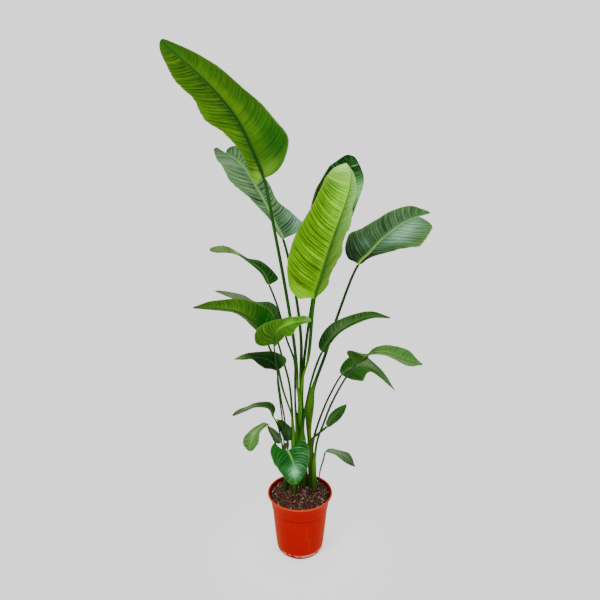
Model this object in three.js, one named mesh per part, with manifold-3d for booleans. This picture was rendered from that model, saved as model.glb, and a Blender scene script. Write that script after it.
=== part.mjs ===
// White bird of paradise, a house plant about 1.7 m tall, in its 25 cm nursery pot.
// Millimetres, +Z up. The origin is the centre of the pot's underside, and -Y is the front.
import * as THREE from 'three';
import { mergeVertices } from 'three/addons/utils/BufferGeometryUtils.js';
import Module from 'manifold-3d';

const wasm = await Module();
wasm.setup();

// ---- driving dimensions ----
const CLEAR = 0.3; // between neighbours that rest on or stand in each other
const POT = {
  height: 228,
  rim: 124, // outer radius of the rolled lip
  lip: 5, // how far the lip stands out from the wall
  base: 81, // radius of the flat underside
  wall: 2.4,
  floor: 3,
  slots: 8, // drain slots cut through the bottom edge
  slotWidth: 14,
  slotLength: 24,
  slotHeight: 7,
  segments: 40,
};
const SOIL = {
  top: 217,
  crown: 3, // how far its middle stands above its edge
  bevel: 14, // width of the sloped margin along the pot
  holeDepth: 50, // how deep the shoots stand in it
};
const SHEATH = {
  thickness: 2,
  opening: 20, // length over which the sheath flattens out into the stalk
  mouthHalf: 62, // degrees it reaches round to each side at its mouth
  narrowing: 80, // length below the mouth over which it draws back to that
  spacing: 110, // between cross-sections
};
const STALK = {
  wrap: 108, // degrees of the round part to each side of its back
  spacing: 60,
};
const STALK_STEPS = 80; // in which the upper side's direction is carried along a stalk
const BLADE = {
  thickness: 1,
  widthStep: 0.16, // between the listed half widths, as a share of the blade
  baseRound: 0.07, // share of the blade over which its base is rounded
  tipRound: 0.2, // and its tip
  ridgeEnd: 1.2, // height of the midrib's ridge at the tip
  edge: 1.5, // smallest half width
  bow: 0.07, // how far each half arches between the midrib and its edge, as a share of its width
  evening: 0.08, // share of the blade over which the direction of its rows is evened out
  slant: 0.1, // how far its cross rows run forward towards the edge, as a share of its width
};
const WAVE = {
  height: 0.05, // of the waved edges, as a share of the half width
  length: 150, // from crest to crest
  lag: 2.1, // radians that the right edge's waves trail the left edge's
};
const GREENS = {
  fresh: 0x5f9a1c, // undersides and young blades
  deep: 0x24591f, // upper sides of grown blades
  grey: 0x5d7f62, // blades with a waxy bloom
};

// A shoot is a fan of leaves whose sheaths are nested round one line.
// `line` is that line from the soil up, `inner` the radius of the innermost sheath.
const SHOOTS = {
  back: {
    line: [[11, 58, 217], [6, 55, 309], [0, 52, 450], [5, 50, 620], [16, 44, 710]],
    inner: 4.2,
    step: 3.4,
  },
  right: { line: [[48, 34, 217], [45, 36, 309], [34, 34, 459], [36, 34, 580]], inner: 7.4, step: 3.3 },
  front: { line: [[-21, -7, 217], [-23, -4, 434], [-26, 0, 555]], inner: 6.5, step: 3.4 },
  left: { line: [[-55, 26, 217], [-53, 22, 397]], inner: 3.4, step: 3.1 },
  rear: { line: [[-48, 64, 217], [-54, 54, 340]], inner: 3.4, step: 3.2 },
  single: { line: [[70, 52, 217], [70, 52, 230]], inner: 2.6, step: 0 },
};

// Each leaf: `ring` counts sheaths outwards from the shoot's innermost, `back` is the compass
// direction in degrees that the sheath's back faces, `mouth` the height where it opens, `spread` how
// much wider it grows there and over what length, `stalk` and `rib` the points of the leaf stalk and
// of the midrib, `radii` the stalk's radius at both ends.
// `face` is where the upper side looks, from the blade's base to its tip. `left` and `right` are the
// half widths along it, seen from above with the tip up, and `fold` is how far each half rises from
// the midrib, in degrees. `lobes` reach back past the blade's base. Where the two halves end apart,
// `ends` is how far along the midrib each one does, and `points` is how far it runs forward there, as a
// share of its width. `columns` is how many strips wide the leaf is.
const LEAVES = [
  {
    name: 'leaf_crown_left', shoot: 'back', ring: 2, back: 190, mouth: 620, radii: [6.5, 4.8], columns: 6,
    spread: [4, 40],
    stalk: [[-11, 38, 690], [-20, 2, 805], [-50, -30, 1010], [-85, -70, 1215]],
    rib: [[-115, -110, 1380], [-135, -130, 1435], [-185, -180, 1540], [-250, -235, 1615],
      [-315, -280, 1670], [-366, -303, 1711]],
    face: [[0.35, 0.8, 0.5], [0.3, 0.8, 0.55], [0.25, 0.7, 0.7]],
    left: [57, 118, 98, 74, 60, 42, 24], right: [62, 50, 84, 114, 94, 80, 64],
    fold: [14, 14, 10], lobes: [0, 25], color: GREENS.fresh,
  },
  {
    name: 'leaf_back_left', shoot: 'back', ring: 1, back: 150, mouth: 645, radii: [6, 4.5], columns: 6,
    stalk: [[5, 52, 790], [-15, 80, 970]],
    rib: [[-65, 130, 1185], [-90, 145, 1230], [-130, 185, 1310], [-180, 225, 1395],
      [-235, 265, 1475], [-340, 330, 1550]],
    face: [[0.35, -0.8, 0.5], [0.35, -0.8, 0.5], [0.3, -0.8, 0.5]],
    left: [14, 14, 50, 90, 106, 80, 56], right: [108, 88, 50, 54, 52, 64, 60],
    fold: [8, 14, 20], lobes: [0, 0], ends: [1, 0.9], points: [0.1, 0.6], color: GREENS.grey,
  },
  {
    name: 'leaf_crown_right', shoot: 'back', ring: 0, back: -20, mouth: 715, radii: [6.5, 5], columns: 6,
    spread: [4, 55],
    stalk: [[35, -10, 805]],
    rib: [[50, -60, 985], [70, -90, 1060], [105, -130, 1185], [135, -145, 1275],
      [155, -145, 1345], [160, -125, 1395], [150, -85, 1430]],
    face: [[-0.5, 0.86, 0], [-0.5, 0.86, 0], [-0.4, 0.9, 0.1], [-0.35, 0.8, -0.4]],
    left: [105, 94, 148, 108, 80, 42, 16], right: [82, 118, 124, 110, 96, 84, 78],
    fold: [30, 38, 38, 24], lobes: [0, 20], color: GREENS.fresh,
  },
  {
    name: 'leaf_back_right', shoot: 'back', ring: 3, back: 80, mouth: 535, radii: [5.5, 4.5], columns: 6,
    stalk: [[12, 66, 680], [25, 64, 810], [45, 90, 945]],
    rib: [[70, 130, 1095], [125, 190, 1275], [180, 225, 1410], [200, 240, 1505]],
    face: [[0.2, -0.9, 0.3], [0.2, -0.9, 0.3], [0.2, -0.8, 0.5]],
    left: [40, 64, 88, 100, 96, 86, 56], right: [50, 68, 75, 76, 74, 68, 46],
    fold: [10, 15, 12], lobes: [0, 0], color: GREENS.deep,
  },
  {
    name: 'leaf_right', shoot: 'right', ring: 0, back: 62, mouth: 593, radii: [6, 4.5], columns: 6,
    spread: [11, 170],
    stalk: [[58, 40, 650], [95, 56, 750], [150, 80, 920]],
    rib: [[220, 100, 1090], [260, 112, 1130], [305, 132, 1176], [380, 160, 1233],
      [436, 182, 1261], [509, 200, 1281]],
    face: [[-0.4, -0.75, 0.5], [-0.35, -0.8, 0.5], [-0.2, -0.8, 0.6]],
    left: [71, 110, 88, 72, 68, 56, 30], right: [16, 26, 92, 154, 138, 112, 84],
    fold: [14, 16, 14], lobes: [9, 0], ends: [1, 0.86], points: [0.1, 0.45], color: GREENS.deep,
  },
  {
    name: 'leaf_upper_left', shoot: 'back', ring: 4, back: 170, mouth: 500, radii: [3.8, 3.2], columns: 6,
    stalk: [[-19, 56, 640], [-21, 56, 725], [-50, 45, 815], [-82, 20, 945]],
    rib: [[-110, 0, 1025], [-130, -5, 1070], [-185, -20, 1115], [-230, -40, 1140], [-305, -60, 1150]],
    face: [[-0.2, -0.6, 0.6], [-0.2, -0.6, 0.6], [0.1, -0.4, 0.9]],
    left: [7, 10, 10, 6, 5, 13, 26], right: [46, 30, 24, 7, 12, 28, 28],
    fold: [10, 10, 10], lobes: [0, 0], color: GREENS.deep,
  },
  {
    name: 'leaf_keel_left', shoot: 'front', ring: 0, back: 180, mouth: 540, radii: [4.6, 3.6], columns: 6,
    stalk: [[-64, 2, 640], [-87, 2, 740], [-112, -8, 800]],
    rib: [[-127, -25, 850], [-147, -38, 880], [-177, -52, 915], [-218, -66, 940], [-288, -85, 955],
      [-358, -105, 960]],
    face: [[0.1, 0.83, 0.55], [0, 0.83, 0.55], [0, 0.83, 0.55]],
    left: [45, 70, 60, 48, 34, 24, 12], right: [32, 34, 32, 27, 22, 17, 11],
    fold: [28, 28, 25], lobes: [25, 10], color: GREENS.fresh,
  },
  {
    name: 'leaf_behind_left', shoot: 'front', ring: 1, back: 110, mouth: 470, radii: [4.2, 3.4], columns: 4,
    stalk: [[-31, 16, 560], [-41, 42, 645], [-70, 50, 755]],
    rib: [[-90, 60, 825], [-110, 80, 890], [-170, 110, 935], [-240, 135, 960], [-335, 165, 980]],
    face: [[-0.2, -0.5, 0.8], [-0.2, -0.5, 0.8], [-0.2, -0.5, 0.8]],
    left: [20, 52, 62, 42, 24, 16, 10], right: [10, 36, 42, 10, 16, 12, 9],
    fold: [10, 10, 10], lobes: [0, 0], color: GREENS.deep,
  },
  {
    name: 'leaf_middle_right', shoot: 'back', ring: 5, back: -70, mouth: 430, radii: [4.8, 4], columns: 6,
    stalk: [[16, 14, 530], [26, 2, 593], [31, -2, 625], [46, -4, 685], [60, -5, 730]],
    rib: [[80, -5, 780], [120, -4, 840], [185, 2, 885], [255, 8, 910], [330, 20, 900]],
    face: [[-0.3, -0.5, 0.8], [-0.2, -0.5, 0.8], [-0.1, -0.5, 0.9]],
    left: [26, 38, 42, 33, 25, 20, 12], right: [22, 20, 17, 20, 20, 15, 8],
    fold: [15, 15, 10], lobes: [0, 0], color: GREENS.deep,
  },
  {
    name: 'leaf_strip_left', shoot: 'left', ring: 0, back: 20, mouth: 380, radii: [2.7, 2.4], columns: 6,
    stalk: [[-50, -10, 460], [-55, -48, 534], [-72, -88, 674], [-83, -104, 780]],
    rib: [[-88, -110, 836], [-86, -112, 860], [-77, -108, 884], [-44, -100, 902], [-4, -92, 910],
      [38, -84, 914]],
    face: [[0.1, -0.95, 0.2], [0.05, -0.85, 0.5], [0, -0.35, 1], [0, -0.3, 1]],
    left: [60, 66, 36, 28, 36, 34, 36], right: [6, 29, 34, 48, 38, 22, 20],
    fold: [4, 4, 4], lobes: [8, 12], color: GREENS.fresh,
  },
  {
    name: 'leaf_ragged_left', shoot: 'left', ring: 1, back: 200, mouth: 330, radii: [2.7, 2.4], columns: 4,
    stalk: [[-60, 0, 430], [-65, -34, 536], [-73, -50, 618], [-80, -52, 684]],
    rib: [[-80, -54, 726], [-98, -60, 756], [-134, -64, 774], [-173, -68, 776], [-228, -80, 774]],
    face: [[-0.1, -0.3, 1], [0, -0.3, 1], [0, -0.3, 1]],
    left: [6, 41, 66, 46, 10, 10, 5], right: [72, 65, 51, 36, 30, 22, 12],
    fold: [5, 5, 5], lobes: [0, 0], color: GREENS.deep,
  },
  {
    name: 'leaf_outer_right', shoot: 'right', ring: 3, back: -20, mouth: 350, radii: [4.2, 3.2], columns: 4,
    stalk: [[66, 26, 420], [90, 14, 498], [116, 0, 578], [164, -40, 694]],
    rib: [[198, -90, 764], [226, -110, 798], [276, -140, 819], [338, -160, 803], [400, -170, 784]],
    face: [[0.35, 0.9, 0.3], [0, -0.1, 1], [0, -0.2, 1], [0, -0.3, 1], [0, -0.3, 1]],
    left: [6, 26, 42, 44, 47, 40, 14], right: [54, 52, 42, 44, 48, 46, 20],
    fold: [10, 10, 10], lobes: [0, 10], color: GREENS.deep,
  },
  {
    name: 'leaf_drooping_right', shoot: 'right', ring: 1, back: 20, mouth: 395, radii: [4.2, 3.2], columns: 4,
    stalk: [[64, 50, 458], [96, 70, 540], [124, 84, 596]],
    rib: [[164, 110, 654], [192, 120, 674], [262, 140, 686], [324, 150, 644], [386, 150, 572]],
    face: [[-0.3, -0.6, 0.7], [0.1, -0.6, 0.8], [0.5, -0.4, 0.7]],
    left: [19, 42, 54, 28, 20, 14, 7], right: [50, 76, 50, 28, 20, 15, 6],
    fold: [5, 5, 5], lobes: [0, 0], color: GREENS.deep,
  },
  {
    name: 'leaf_small_right', shoot: 'right', ring: 2, back: -100, mouth: 400, radii: [5, 4], columns: 4,
    stalk: [[50, -8, 448], [72, -30, 480]],
    rib: [[98, -46, 512], [118, -50, 546], [144, -56, 578], [166, -62, 602]],
    face: [[-0.5, -0.6, 0.6], [-0.5, -0.6, 0.6], [-0.5, -0.6, 0.6]],
    left: [12, 14, 17, 17, 15, 10, 6], right: [8, 18, 25, 28, 27, 22, 13],
    fold: [10, 10, 10], lobes: [0, 0], color: GREENS.deep,
  },
  {
    name: 'leaf_arched_left', shoot: 'rear', ring: 1, back: 150, mouth: 320, radii: [3.2, 2.8], columns: 4,
    stalk: [[-72, 56, 400], [-80, 36, 460], [-88, 12, 500]],
    rib: [[-100, 0, 530], [-116, -4, 563], [-160, -16, 574], [-204, -24, 562], [-246, -36, 547]],
    face: [[0.2, -0.1, 1], [0.1, -0.1, 1], [0, -0.2, 1]],
    left: [10, 18, 22, 24, 18, 12, 8], right: [21, 29, 22, 18, 14, 16, 16],
    fold: [30, 30, 10], lobes: [0, 0], color: GREENS.grey,
  },
  {
    name: 'leaf_spoon_left', shoot: 'rear', ring: 3, back: 220, mouth: 270, radii: [3.4, 2.8], columns: 4,
    stalk: [[-90, -8, 420], [-106, -20, 470]],
    rib: [[-124, -30, 516], [-144, -44, 508], [-164, -60, 490], [-178, -64, 456], [-184, -66, 426]],
    face: [[-0.2, -0.6, 0.7], [-0.2, -0.9, 0.3], [-0.2, -1, 0.1]],
    left: [16, 13, 14, 24, 28, 22, 18], right: [5, 10, 16, 22, 30, 28, 16],
    fold: [5, 5, 5], lobes: [0, 0], color: GREENS.fresh,
  },
  {
    name: 'leaf_heart', shoot: 'left', ring: 2, back: -80, mouth: 290, radii: [3.4, 3], columns: 6,
    stalk: [[-56, 4, 390], [-54, -18, 428], [-49, -50, 448]],
    rib: [[-43, -96, 445], [-31, -104, 422], [-22, -114, 401], [-17, -128, 370], [-14, -140, 342]],
    face: [[0.1, -0.9, 0.45], [0.1, -0.9, 0.45], [0.1, -0.9, 0.3]],
    left: [72, 70, 63, 51, 40, 26, 16], right: [58, 64, 58, 55, 46, 35, 30],
    fold: [6, 8, 6], lobes: [19, 50], color: GREENS.deep,
  },
  {
    name: 'leaf_yellow_tipped', shoot: 'rear', ring: 0, back: 250, mouth: 340, radii: [3, 2.6], columns: 4,
    stalk: [[-46, 42, 380]],
    rib: [[-46, 42, 410], [-54, 44, 438], [-70, 50, 470], [-90, 56, 494]],
    face: [[0.1, -0.9, 0.3], [0.1, -0.9, 0.3], [0.1, -0.9, 0.3]],
    left: [12, 16, 17, 16, 14, 10, 6], right: [16, 26, 30, 26, 20, 14, 6],
    fold: [5, 5, 5], lobes: [0, 0], color: GREENS.deep,
  },
  {
    name: 'leaf_browning', shoot: 'rear', ring: 2, back: -110, mouth: 290, radii: [3, 2.6], columns: 4,
    stalk: [[-64, 34, 380]],
    rib: [[-72, 28, 412], [-86, 22, 430], [-104, 12, 460], [-122, -8, 492]],
    face: [[0.2, -0.7, 0.6], [0.2, -0.7, 0.6], [0.2, -0.7, 0.6]],
    left: [10, 16, 18, 16, 13, 10, 5], right: [10, 16, 18, 16, 13, 10, 5],
    fold: [5, 5, 5], lobes: [0, 0], color: GREENS.grey,
  },
  {
    name: 'leaf_low_right', shoot: 'single', ring: 0, back: 0, mouth: 244, radii: [3, 2.8], columns: 4,
    stalk: [[79, 43, 288], [90, 33, 334]],
    rib: [[100, 24, 376], [132, 16, 384], [166, 4, 372], [210, 0, 328]],
    face: [[-0.1, -0.5, 0.9], [0.2, -0.4, 0.9], [0.5, -0.4, 0.8]],
    left: [6, 8, 7, 14, 23, 18, 6], right: [6, 16, 21, 27, 29, 20, 10],
    fold: [10, 10, 10], lobes: [0, 0], color: GREENS.grey,
  },
];

// ---- shared helpers ----
const point = ([x, y, z]) => new THREE.Vector3(x, y, z);
const lerp = THREE.MathUtils.lerp;
const radians = THREE.MathUtils.degToRad;
const step01 = (x, from, to) => THREE.MathUtils.smoothstep(x, from, to);

// the two neighbours in a list spread evenly over 0..1, and how far u is between them
function mixList(list, u) {
  const x = THREE.MathUtils.clamp(u, 0, 1) * (list.length - 1);
  const i = Math.min(Math.floor(x), list.length - 2);
  return [list[i], list[i + 1], x - i];
}

function evenly(from, to, steps) {
  return Array.from({ length: steps + 1 }, (_, i) => lerp(from, to, i / steps));
}

// value of a list of numbers spread evenly over 0..1, joined by straight lines
function along(list, u) {
  const [a, b, t] = mixList(list, u);
  return lerp(a, b, t);
}

// half width of a blade: the listed widths joined by a Catmull-Rom curve
function listedWidth(widths, u) {
  const last = widths.length - 1;
  const x = Math.min(u / BLADE.widthStep, last);
  const i = Math.min(Math.floor(x), last - 1);
  const t = x - i;
  const [a, b, c, d] = [-1, 0, 1, 2].map((k) => widths[THREE.MathUtils.clamp(i + k, 0, last)]);
  const square = 2 * a - 5 * b + 4 * c - d;
  const cube = 3 * b - a - 3 * c + d;
  return 0.5 * (2 * b + (c - a) * t + square * t ** 2 + cube * t ** 3);
}

// the listed width, rounded off at the base of the blade and at its tip
function halfWidth(widths, u) {
  const base = THREE.MathUtils.clamp(u / BLADE.baseRound, 0, 1);
  const tip = THREE.MathUtils.clamp((u - 1) / BLADE.tipRound + 1, 0, 1);
  const rounded = Math.sqrt(1 - (1 - base) ** 2.4) * Math.sqrt(1 - tip ** 2);
  return Math.max(listedWidth(widths, u) * rounded, BLADE.edge);
}

function solidMesh(name, geometry, color, roughness) {
  const mesh = new THREE.Mesh(geometry, new THREE.MeshStandardMaterial({ color, roughness, metalness: 0 }));
  mesh.name = name;
  return mesh;
}

function toSolid(geometry) {
  geometry.deleteAttribute('normal');
  geometry.deleteAttribute('uv');
  const merged = mergeVertices(geometry, 1e-4);
  const { index, attributes } = merged;
  const triVerts = new Uint32Array(index.array);
  const data = { numProp: 3, vertProperties: attributes.position.array, triVerts };
  return new wasm.Manifold(new wasm.Mesh(data));
}

function fromSolid(solid) {
  const mesh = solid.getMesh();
  const geometry = new THREE.BufferGeometry();
  geometry.setAttribute('position', new THREE.BufferAttribute(new Float32Array(mesh.vertProperties), 3));
  geometry.setIndex(new THREE.BufferAttribute(new Uint32Array(mesh.triVerts), 1));
  geometry.computeVertexNormals();
  return geometry;
}

// LatheGeometry turns about Y, so the finished shape is stood up along Z
function lathe(profile, segments) {
  const outline = profile.map(([r, z]) => new THREE.Vector2(r, z));
  return new THREE.LatheGeometry(outline, segments).rotateX(Math.PI / 2);
}

// ---- the pot ----
// height and outer radius of the wall below the lip: a cone with a step where the rim band begins
const WALL_PROFILE = [
  [0, POT.base], [8, 88], [30, 91.5], [100, 99], [168, 105], [172, 107.5], [198, 111.5], [219, 117.5],
];

const FLOOR_RADIUS = POT.base + 3; // inside, where the floor meets the wall

function potProfile() {
  const { rim, height, wall, floor, lip } = POT;
  const outside = WALL_PROFILE.map(([z, r]) => [r, z]);
  const rolled = [[rim - 1.5, height - 7], [rim, height - 3.5], [rim - 1.5, height], [rim - lip, height]];
  const inside = WALL_PROFILE.slice(2).reverse().map(([z, r]) => [r - wall, z]);
  return [[0, 0], ...outside, ...rolled, ...inside, [FLOOR_RADIUS, floor], [0, floor]];
}

function potGeometry() {
  let pot = toSolid(lathe(potProfile(), POT.segments));
  for (let i = 0; i < POT.slots; i += 1) {
    const slot = new THREE.BoxGeometry(POT.slotLength, POT.slotWidth, 2 * POT.slotHeight);
    slot.translate(POT.base + POT.slotLength / 3, 0, 0).rotateZ((2 * Math.PI * (i + 0.5)) / POT.slots);
    pot = pot.subtract(toSolid(slot));
  }
  return fromSolid(pot);
}

// ---- the soil, with a plain hole for the foot of each shoot ----
function shootRadius(name) {
  const rings = LEAVES.filter((leaf) => leaf.shoot === name).map((leaf) => leaf.ring);
  const { inner, step } = SHOOTS[name];
  return inner + step * Math.max(...rings) + SHEATH.thickness / 2;
}

function soilGeometry() {
  const fit = POT.wall + CLEAR;
  const side = WALL_PROFILE.slice(2, -1).map(([z, r]) => [r - fit, z]);
  const [[z0, r0], [z1, r1]] = WALL_PROFILE.slice(-2);
  const margin = SOIL.top - SOIL.crown;
  const edge = lerp(r0, r1, (margin - z0) / (z1 - z0)) - fit;
  const under = [[0, POT.floor + CLEAR], [FLOOR_RADIUS - CLEAR, POT.floor + CLEAR]];
  const crown = SOIL.top + SOIL.crown;
  const over = [[edge, margin], [edge - SOIL.bevel, SOIL.top], [edge / 2, crown], [0, crown]];
  const profile = [...under, ...side, ...over];
  let soil = toSolid(lathe(profile, POT.segments));
  for (const [name, { line }] of Object.entries(SHOOTS)) {
    const radius = shootRadius(name) + 2 * CLEAR;
    const hole = new THREE.CylinderGeometry(radius, radius, 2 * SOIL.holeDepth, 20).rotateX(Math.PI / 2);
    hole.translate(line[0][0], line[0][1], SOIL.top);
    soil = soil.subtract(toSolid(hole));
  }
  return fromSolid(soil);
}

// ---- the leaves ----
// Every cross-section has the same columns from the left edge to the right edge: an outer row, which
// is the back of the sheath and the underside of the blade, and an inner row, the upper side.
// A section point is [across, up, back]: along the side direction, the upper side's and the stalk's.

// sheath: a band round the shoot's line, `half` degrees to each side of its back
function sheathSection(columns, radius, half) {
  const outer = [];
  const inner = [];
  for (let j = -columns / 2; j <= columns / 2; j += 1) {
    const t = (2 * j) / columns;
    const a = radians(half) * t;
    const out = radius + SHEATH.thickness / 2;
    const within = radius - (SHEATH.thickness / 2) * (1 - 0.6 * t ** 2);
    outer.push([out * Math.sin(a), radius - out * Math.cos(a), 0]);
    inner.push([within * Math.sin(a), radius - within * Math.cos(a), 0]);
  }
  return { outer, inner };
}

// stalk: round, with a shallow channel along its upper side that closes where the blade begins
function stalkSection(columns, radius, channel = 1) {
  const floor = lerp(0.6, 0.1, channel);
  const rise = lerp(-0.15, 0.5, channel);
  const outer = [];
  const inner = [];
  for (let j = -columns / 2; j <= columns / 2; j += 1) {
    const t = (2 * j) / columns;
    const a = radians(STALK.wrap) * t;
    outer.push([radius * Math.sin(a), -radius * Math.cos(a), 0]);
    inner.push([0.82 * radius * t, radius * (floor + rise * t ** 2), 0]);
  }
  return { outer, inner };
}

// blade: two half blades that rise from the midrib, which stands out below as a ridge. Its points lie
// midway through it, with the thickness above and below them.
function bladeSection(leaf, u, length) {
  const { columns } = leaf;
  const ridge = lerp(leaf.radii[1] * 1.5, BLADE.ridgeEnd, step01(u, 0, 0.9));
  const fold = radians(along(leaf.fold, u));
  const fade = Math.min(8 * u, 5 * (1 - u), 1);
  const middle = [];
  const below = [];
  for (let j = -columns / 2; j <= columns / 2; j += 1) {
    const side = Math.sign(j);
    const half = side < 0 ? 0 : 1;
    const share = Math.min(u / (leaf.ends?.[half] ?? 1), 1);
    const width = halfWidth(half ? leaf.right : leaf.left, share);
    const rib = Math.min(ridge / width, 0.35);
    const a = [0, rib, columns > 4 ? 0.55 : 1, 1][Math.abs(j)];
    const swell = Math.sin((2 * Math.PI * u * length) / WAVE.length + half * WAVE.lag);
    const raised = width * (4 * BLADE.bow * (a - a ** 2) + WAVE.height * fade * swell * a ** 2);
    const reach = leaf.lobes[half] * Math.exp(-u / 0.1) * a ** 2;
    const slant = lerp(BLADE.slant, leaf.points?.[half] ?? BLADE.slant, step01(share, 0.6, 1));
    const lean = slant * width * a * Math.min(6 * u, 1);
    const x = side * (a * width * Math.cos(fold) - raised * Math.sin(fold));
    const y = a * width * Math.sin(fold) + raised * Math.cos(fold);
    middle.push([x, y, reach - lean]);
    below.push([ridge, 0.55 * ridge, BLADE.thickness / 2, BLADE.thickness / 2][Math.abs(j)]);
  }
  return { middle, below };
}

function mixSections(a, b, t) {
  const mixRow = (p, q) => p.map((v, j) => v.map((c, k) => lerp(c, q[j][k], t)));
  return { outer: mixRow(a.outer, b.outer), inner: mixRow(a.inner, b.inner) };
}

// the shoot's line at height z, and the point of a sheath's back beside it
function lineAt({ line }, z) {
  const i = THREE.MathUtils.clamp(line.findIndex((p) => p[2] > z), 1, line.length - 1);
  const top = z >= line.at(-1)[2] ? line.length - 1 : i;
  const [a, b] = [line[top - 1], line[top]];
  const t = z < a[2] ? 0 : (z - a[2]) / (b[2] - a[2]);
  return new THREE.Vector3(lerp(a[0], b[0], t), lerp(a[1], b[1], t), z);
}

function sheathRadius(leaf, z) {
  const { inner, step } = SHOOTS[leaf.shoot];
  const [extra, length] = leaf.spread ?? [0, 1];
  return inner + step * leaf.ring + extra * step01(z, leaf.mouth - length, leaf.mouth);
}

function sheathPoint(leaf, z) {
  const away = radians(leaf.back);
  const offset = new THREE.Vector3(Math.cos(away), Math.sin(away), 0).multiplyScalar(sheathRadius(leaf, z));
  return lineAt(SHOOTS[leaf.shoot], z).add(offset);
}

// one curve from the foot of the sheath to the tip of the blade, and how far along it the sheath's
// mouth, the blade's base and the tip are
function leafPath(leaf) {
  const foot = SOIL.top - SOIL.holeDepth + CLEAR;
  const belowMouth = leaf.mouth - 50;
  const bends = SHOOTS[leaf.shoot].line.map((p) => p[2]).filter((z) => z > SOIL.top && z < belowMouth - 10);
  const neck = belowMouth > SOIL.top + 15 ? [belowMouth] : [];
  const sheath = [foot, SOIL.top, ...bends, ...neck, leaf.mouth].map((z) => sheathPoint(leaf, z));
  const away = radians(leaf.back);
  sheath.at(-1).add(new THREE.Vector3(Math.cos(away), Math.sin(away), 0).multiplyScalar(SHEATH.thickness));
  const points = [...sheath, ...leaf.stalk.map(point), ...leaf.rib.map(point)];
  const path = new THREE.CatmullRomCurve3(points);
  const detail = 40;
  path.arcLengthDivisions = (points.length - 1) * detail;
  const lengths = path.getLengths();
  const mouth = lengths[(sheath.length - 1) * detail];
  const blade = lengths[(points.length - leaf.rib.length) * detail];
  return { path, mouth, blade, total: lengths.at(-1) };
}

// how far a sheath reaches round below its mouth, in degrees: small ones almost close, and those of
// narrow leaves stay open
function sheathHalf(leaf) {
  const room = Math.max(0, 9 - sheathRadius(leaf, 0));
  return leaf.columns > 4 ? Math.min(150, 105 + 9 * room) : 70;
}

// where the blade's cross-sections are, as shares of its length: closer where the outline turns
const BLADE_STATIONS = {
  4: [0.015, 0.05, 0.1, 0.18, 0.29, 0.42, 0.56, 0.7, 0.82, 0.91, 0.97],
  6: [0.012, 0.04, 0.08, 0.13, 0.19, 0.27, 0.36, 0.46, 0.56, 0.66, 0.75, 0.83, 0.9, 0.95, 0.985],
};

// stations along the leaf: sheath, stalk and blade, each with its cross-section
function leafStations(leaf, run) {
  const { columns, radii } = leaf;
  const drawn = (s) => step01(s, run.mouth - SHEATH.narrowing, run.mouth);
  const half = (s) => lerp(sheathHalf(leaf), SHEATH.mouthHalf, drawn(s));
  const stalkRadius = (s) => lerp(radii[0], radii[1], step01(s, run.mouth, run.blade));
  const stations = [];
  const ground = SOIL.holeDepth;
  const lastSheath = run.mouth - SHEATH.opening;
  const sheathSteps = Math.max(1, Math.round((run.mouth - ground) / SHEATH.spacing));
  for (const s of [0, ...evenly(ground, lastSheath, sheathSteps)]) {
    const z = run.path.getPointAt(s / run.total).z;
    stations.push({ s, section: sheathSection(columns, sheathRadius(leaf, z), half(s)) });
  }
  const opened = sheathSection(columns, sheathRadius(leaf, leaf.mouth), half(run.mouth));
  const open = Math.min(1.5 * SHEATH.opening, (run.blade - run.mouth) / 4);
  stations.push({ s: run.mouth + open, section: mixSections(opened, stalkSection(columns, radii[0]), 0.75) });
  const start = run.mouth + 2.4 * open;
  const end = run.blade - 2 * radii[1];
  const stalkSteps = Math.max(3, Math.round((end - start) / STALK.spacing));
  for (const s of evenly(start, end, stalkSteps)) {
    stations.push({ s, section: stalkSection(columns, stalkRadius(s), s < end ? 1 : 0) });
  }
  for (const u of BLADE_STATIONS[columns]) {
    const section = bladeSection(leaf, u, run.total - run.blade);
    stations.push({ s: lerp(run.blade, run.total, u), section });
  }
  return stations;
}

function squareTo(direction, ahead) {
  return direction.clone().addScaledVector(ahead, -direction.dot(ahead)).normalize();
}

// the direction that the upper side faces at s. On the sheath it is the shoot's line, and on the blade
// `face`. The stalk carries it along and turns it evenly into the blade's.
function upperSide(leaf, run) {
  const away = radians(leaf.back);
  const inward = new THREE.Vector3(-Math.cos(away), -Math.sin(away), 0);
  const faces = leaf.face.map((v) => point(v).normalize());
  const tangent = (s) => run.path.getTangentAt(THREE.MathUtils.clamp(s / run.total, 0, 1));
  const carried = [];
  for (const s of evenly(run.mouth, run.blade, STALK_STEPS)) {
    carried.push(squareTo(carried.at(-1) ?? inward, tangent(s)));
  }
  const [end, first] = [tangent(run.blade), squareTo(faces[0], tangent(run.blade))];
  const turn = Math.atan2(carried.at(-1).clone().cross(first).dot(end), carried.at(-1).dot(first));
  return (s, ahead) => {
    if (s <= run.mouth) return squareTo(inward, ahead);
    if (s >= run.blade) {
      const [a, b, t] = mixList(faces, (s - run.blade) / (run.total - run.blade));
      return squareTo(a.clone().lerp(b, t), ahead);
    }
    const [a, b, t] = mixList(carried, (s - run.mouth) / (run.blade - run.mouth));
    const turned = turn * step01(s, run.mouth, run.blade);
    return squareTo(a.clone().lerp(b, t), ahead).applyAxisAngle(ahead, turned);
  };
}

// the direction in which a row of the blade looks: along the path, evened out over a stretch of it
function rowDirection(run, s) {
  if (s <= run.blade) return run.path.getTangentAt(s / run.total);
  const reach = Math.min(s - run.blade + 1, BLADE.evening * (run.total - run.blade));
  const from = run.path.getPointAt((s - reach) / run.total);
  const to = run.path.getPointAt(Math.min(s + reach, run.total) / run.total);
  return to.sub(from).normalize();
}

// the blade's own normals, from the neighbours of each point of its middle surface
function normals(rows) {
  const last = rows.length - 1;
  return rows.map((row, i) => row.map((_, j) => {
    const across = row[Math.min(j + 1, row.length - 1)].clone().sub(row[Math.max(j - 1, 0)]);
    const ahead = rows[Math.min(i + 1, last)][j].clone().sub(rows[Math.max(i - 1, 0)][j]);
    return across.cross(ahead).normalize();
  }));
}

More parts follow.
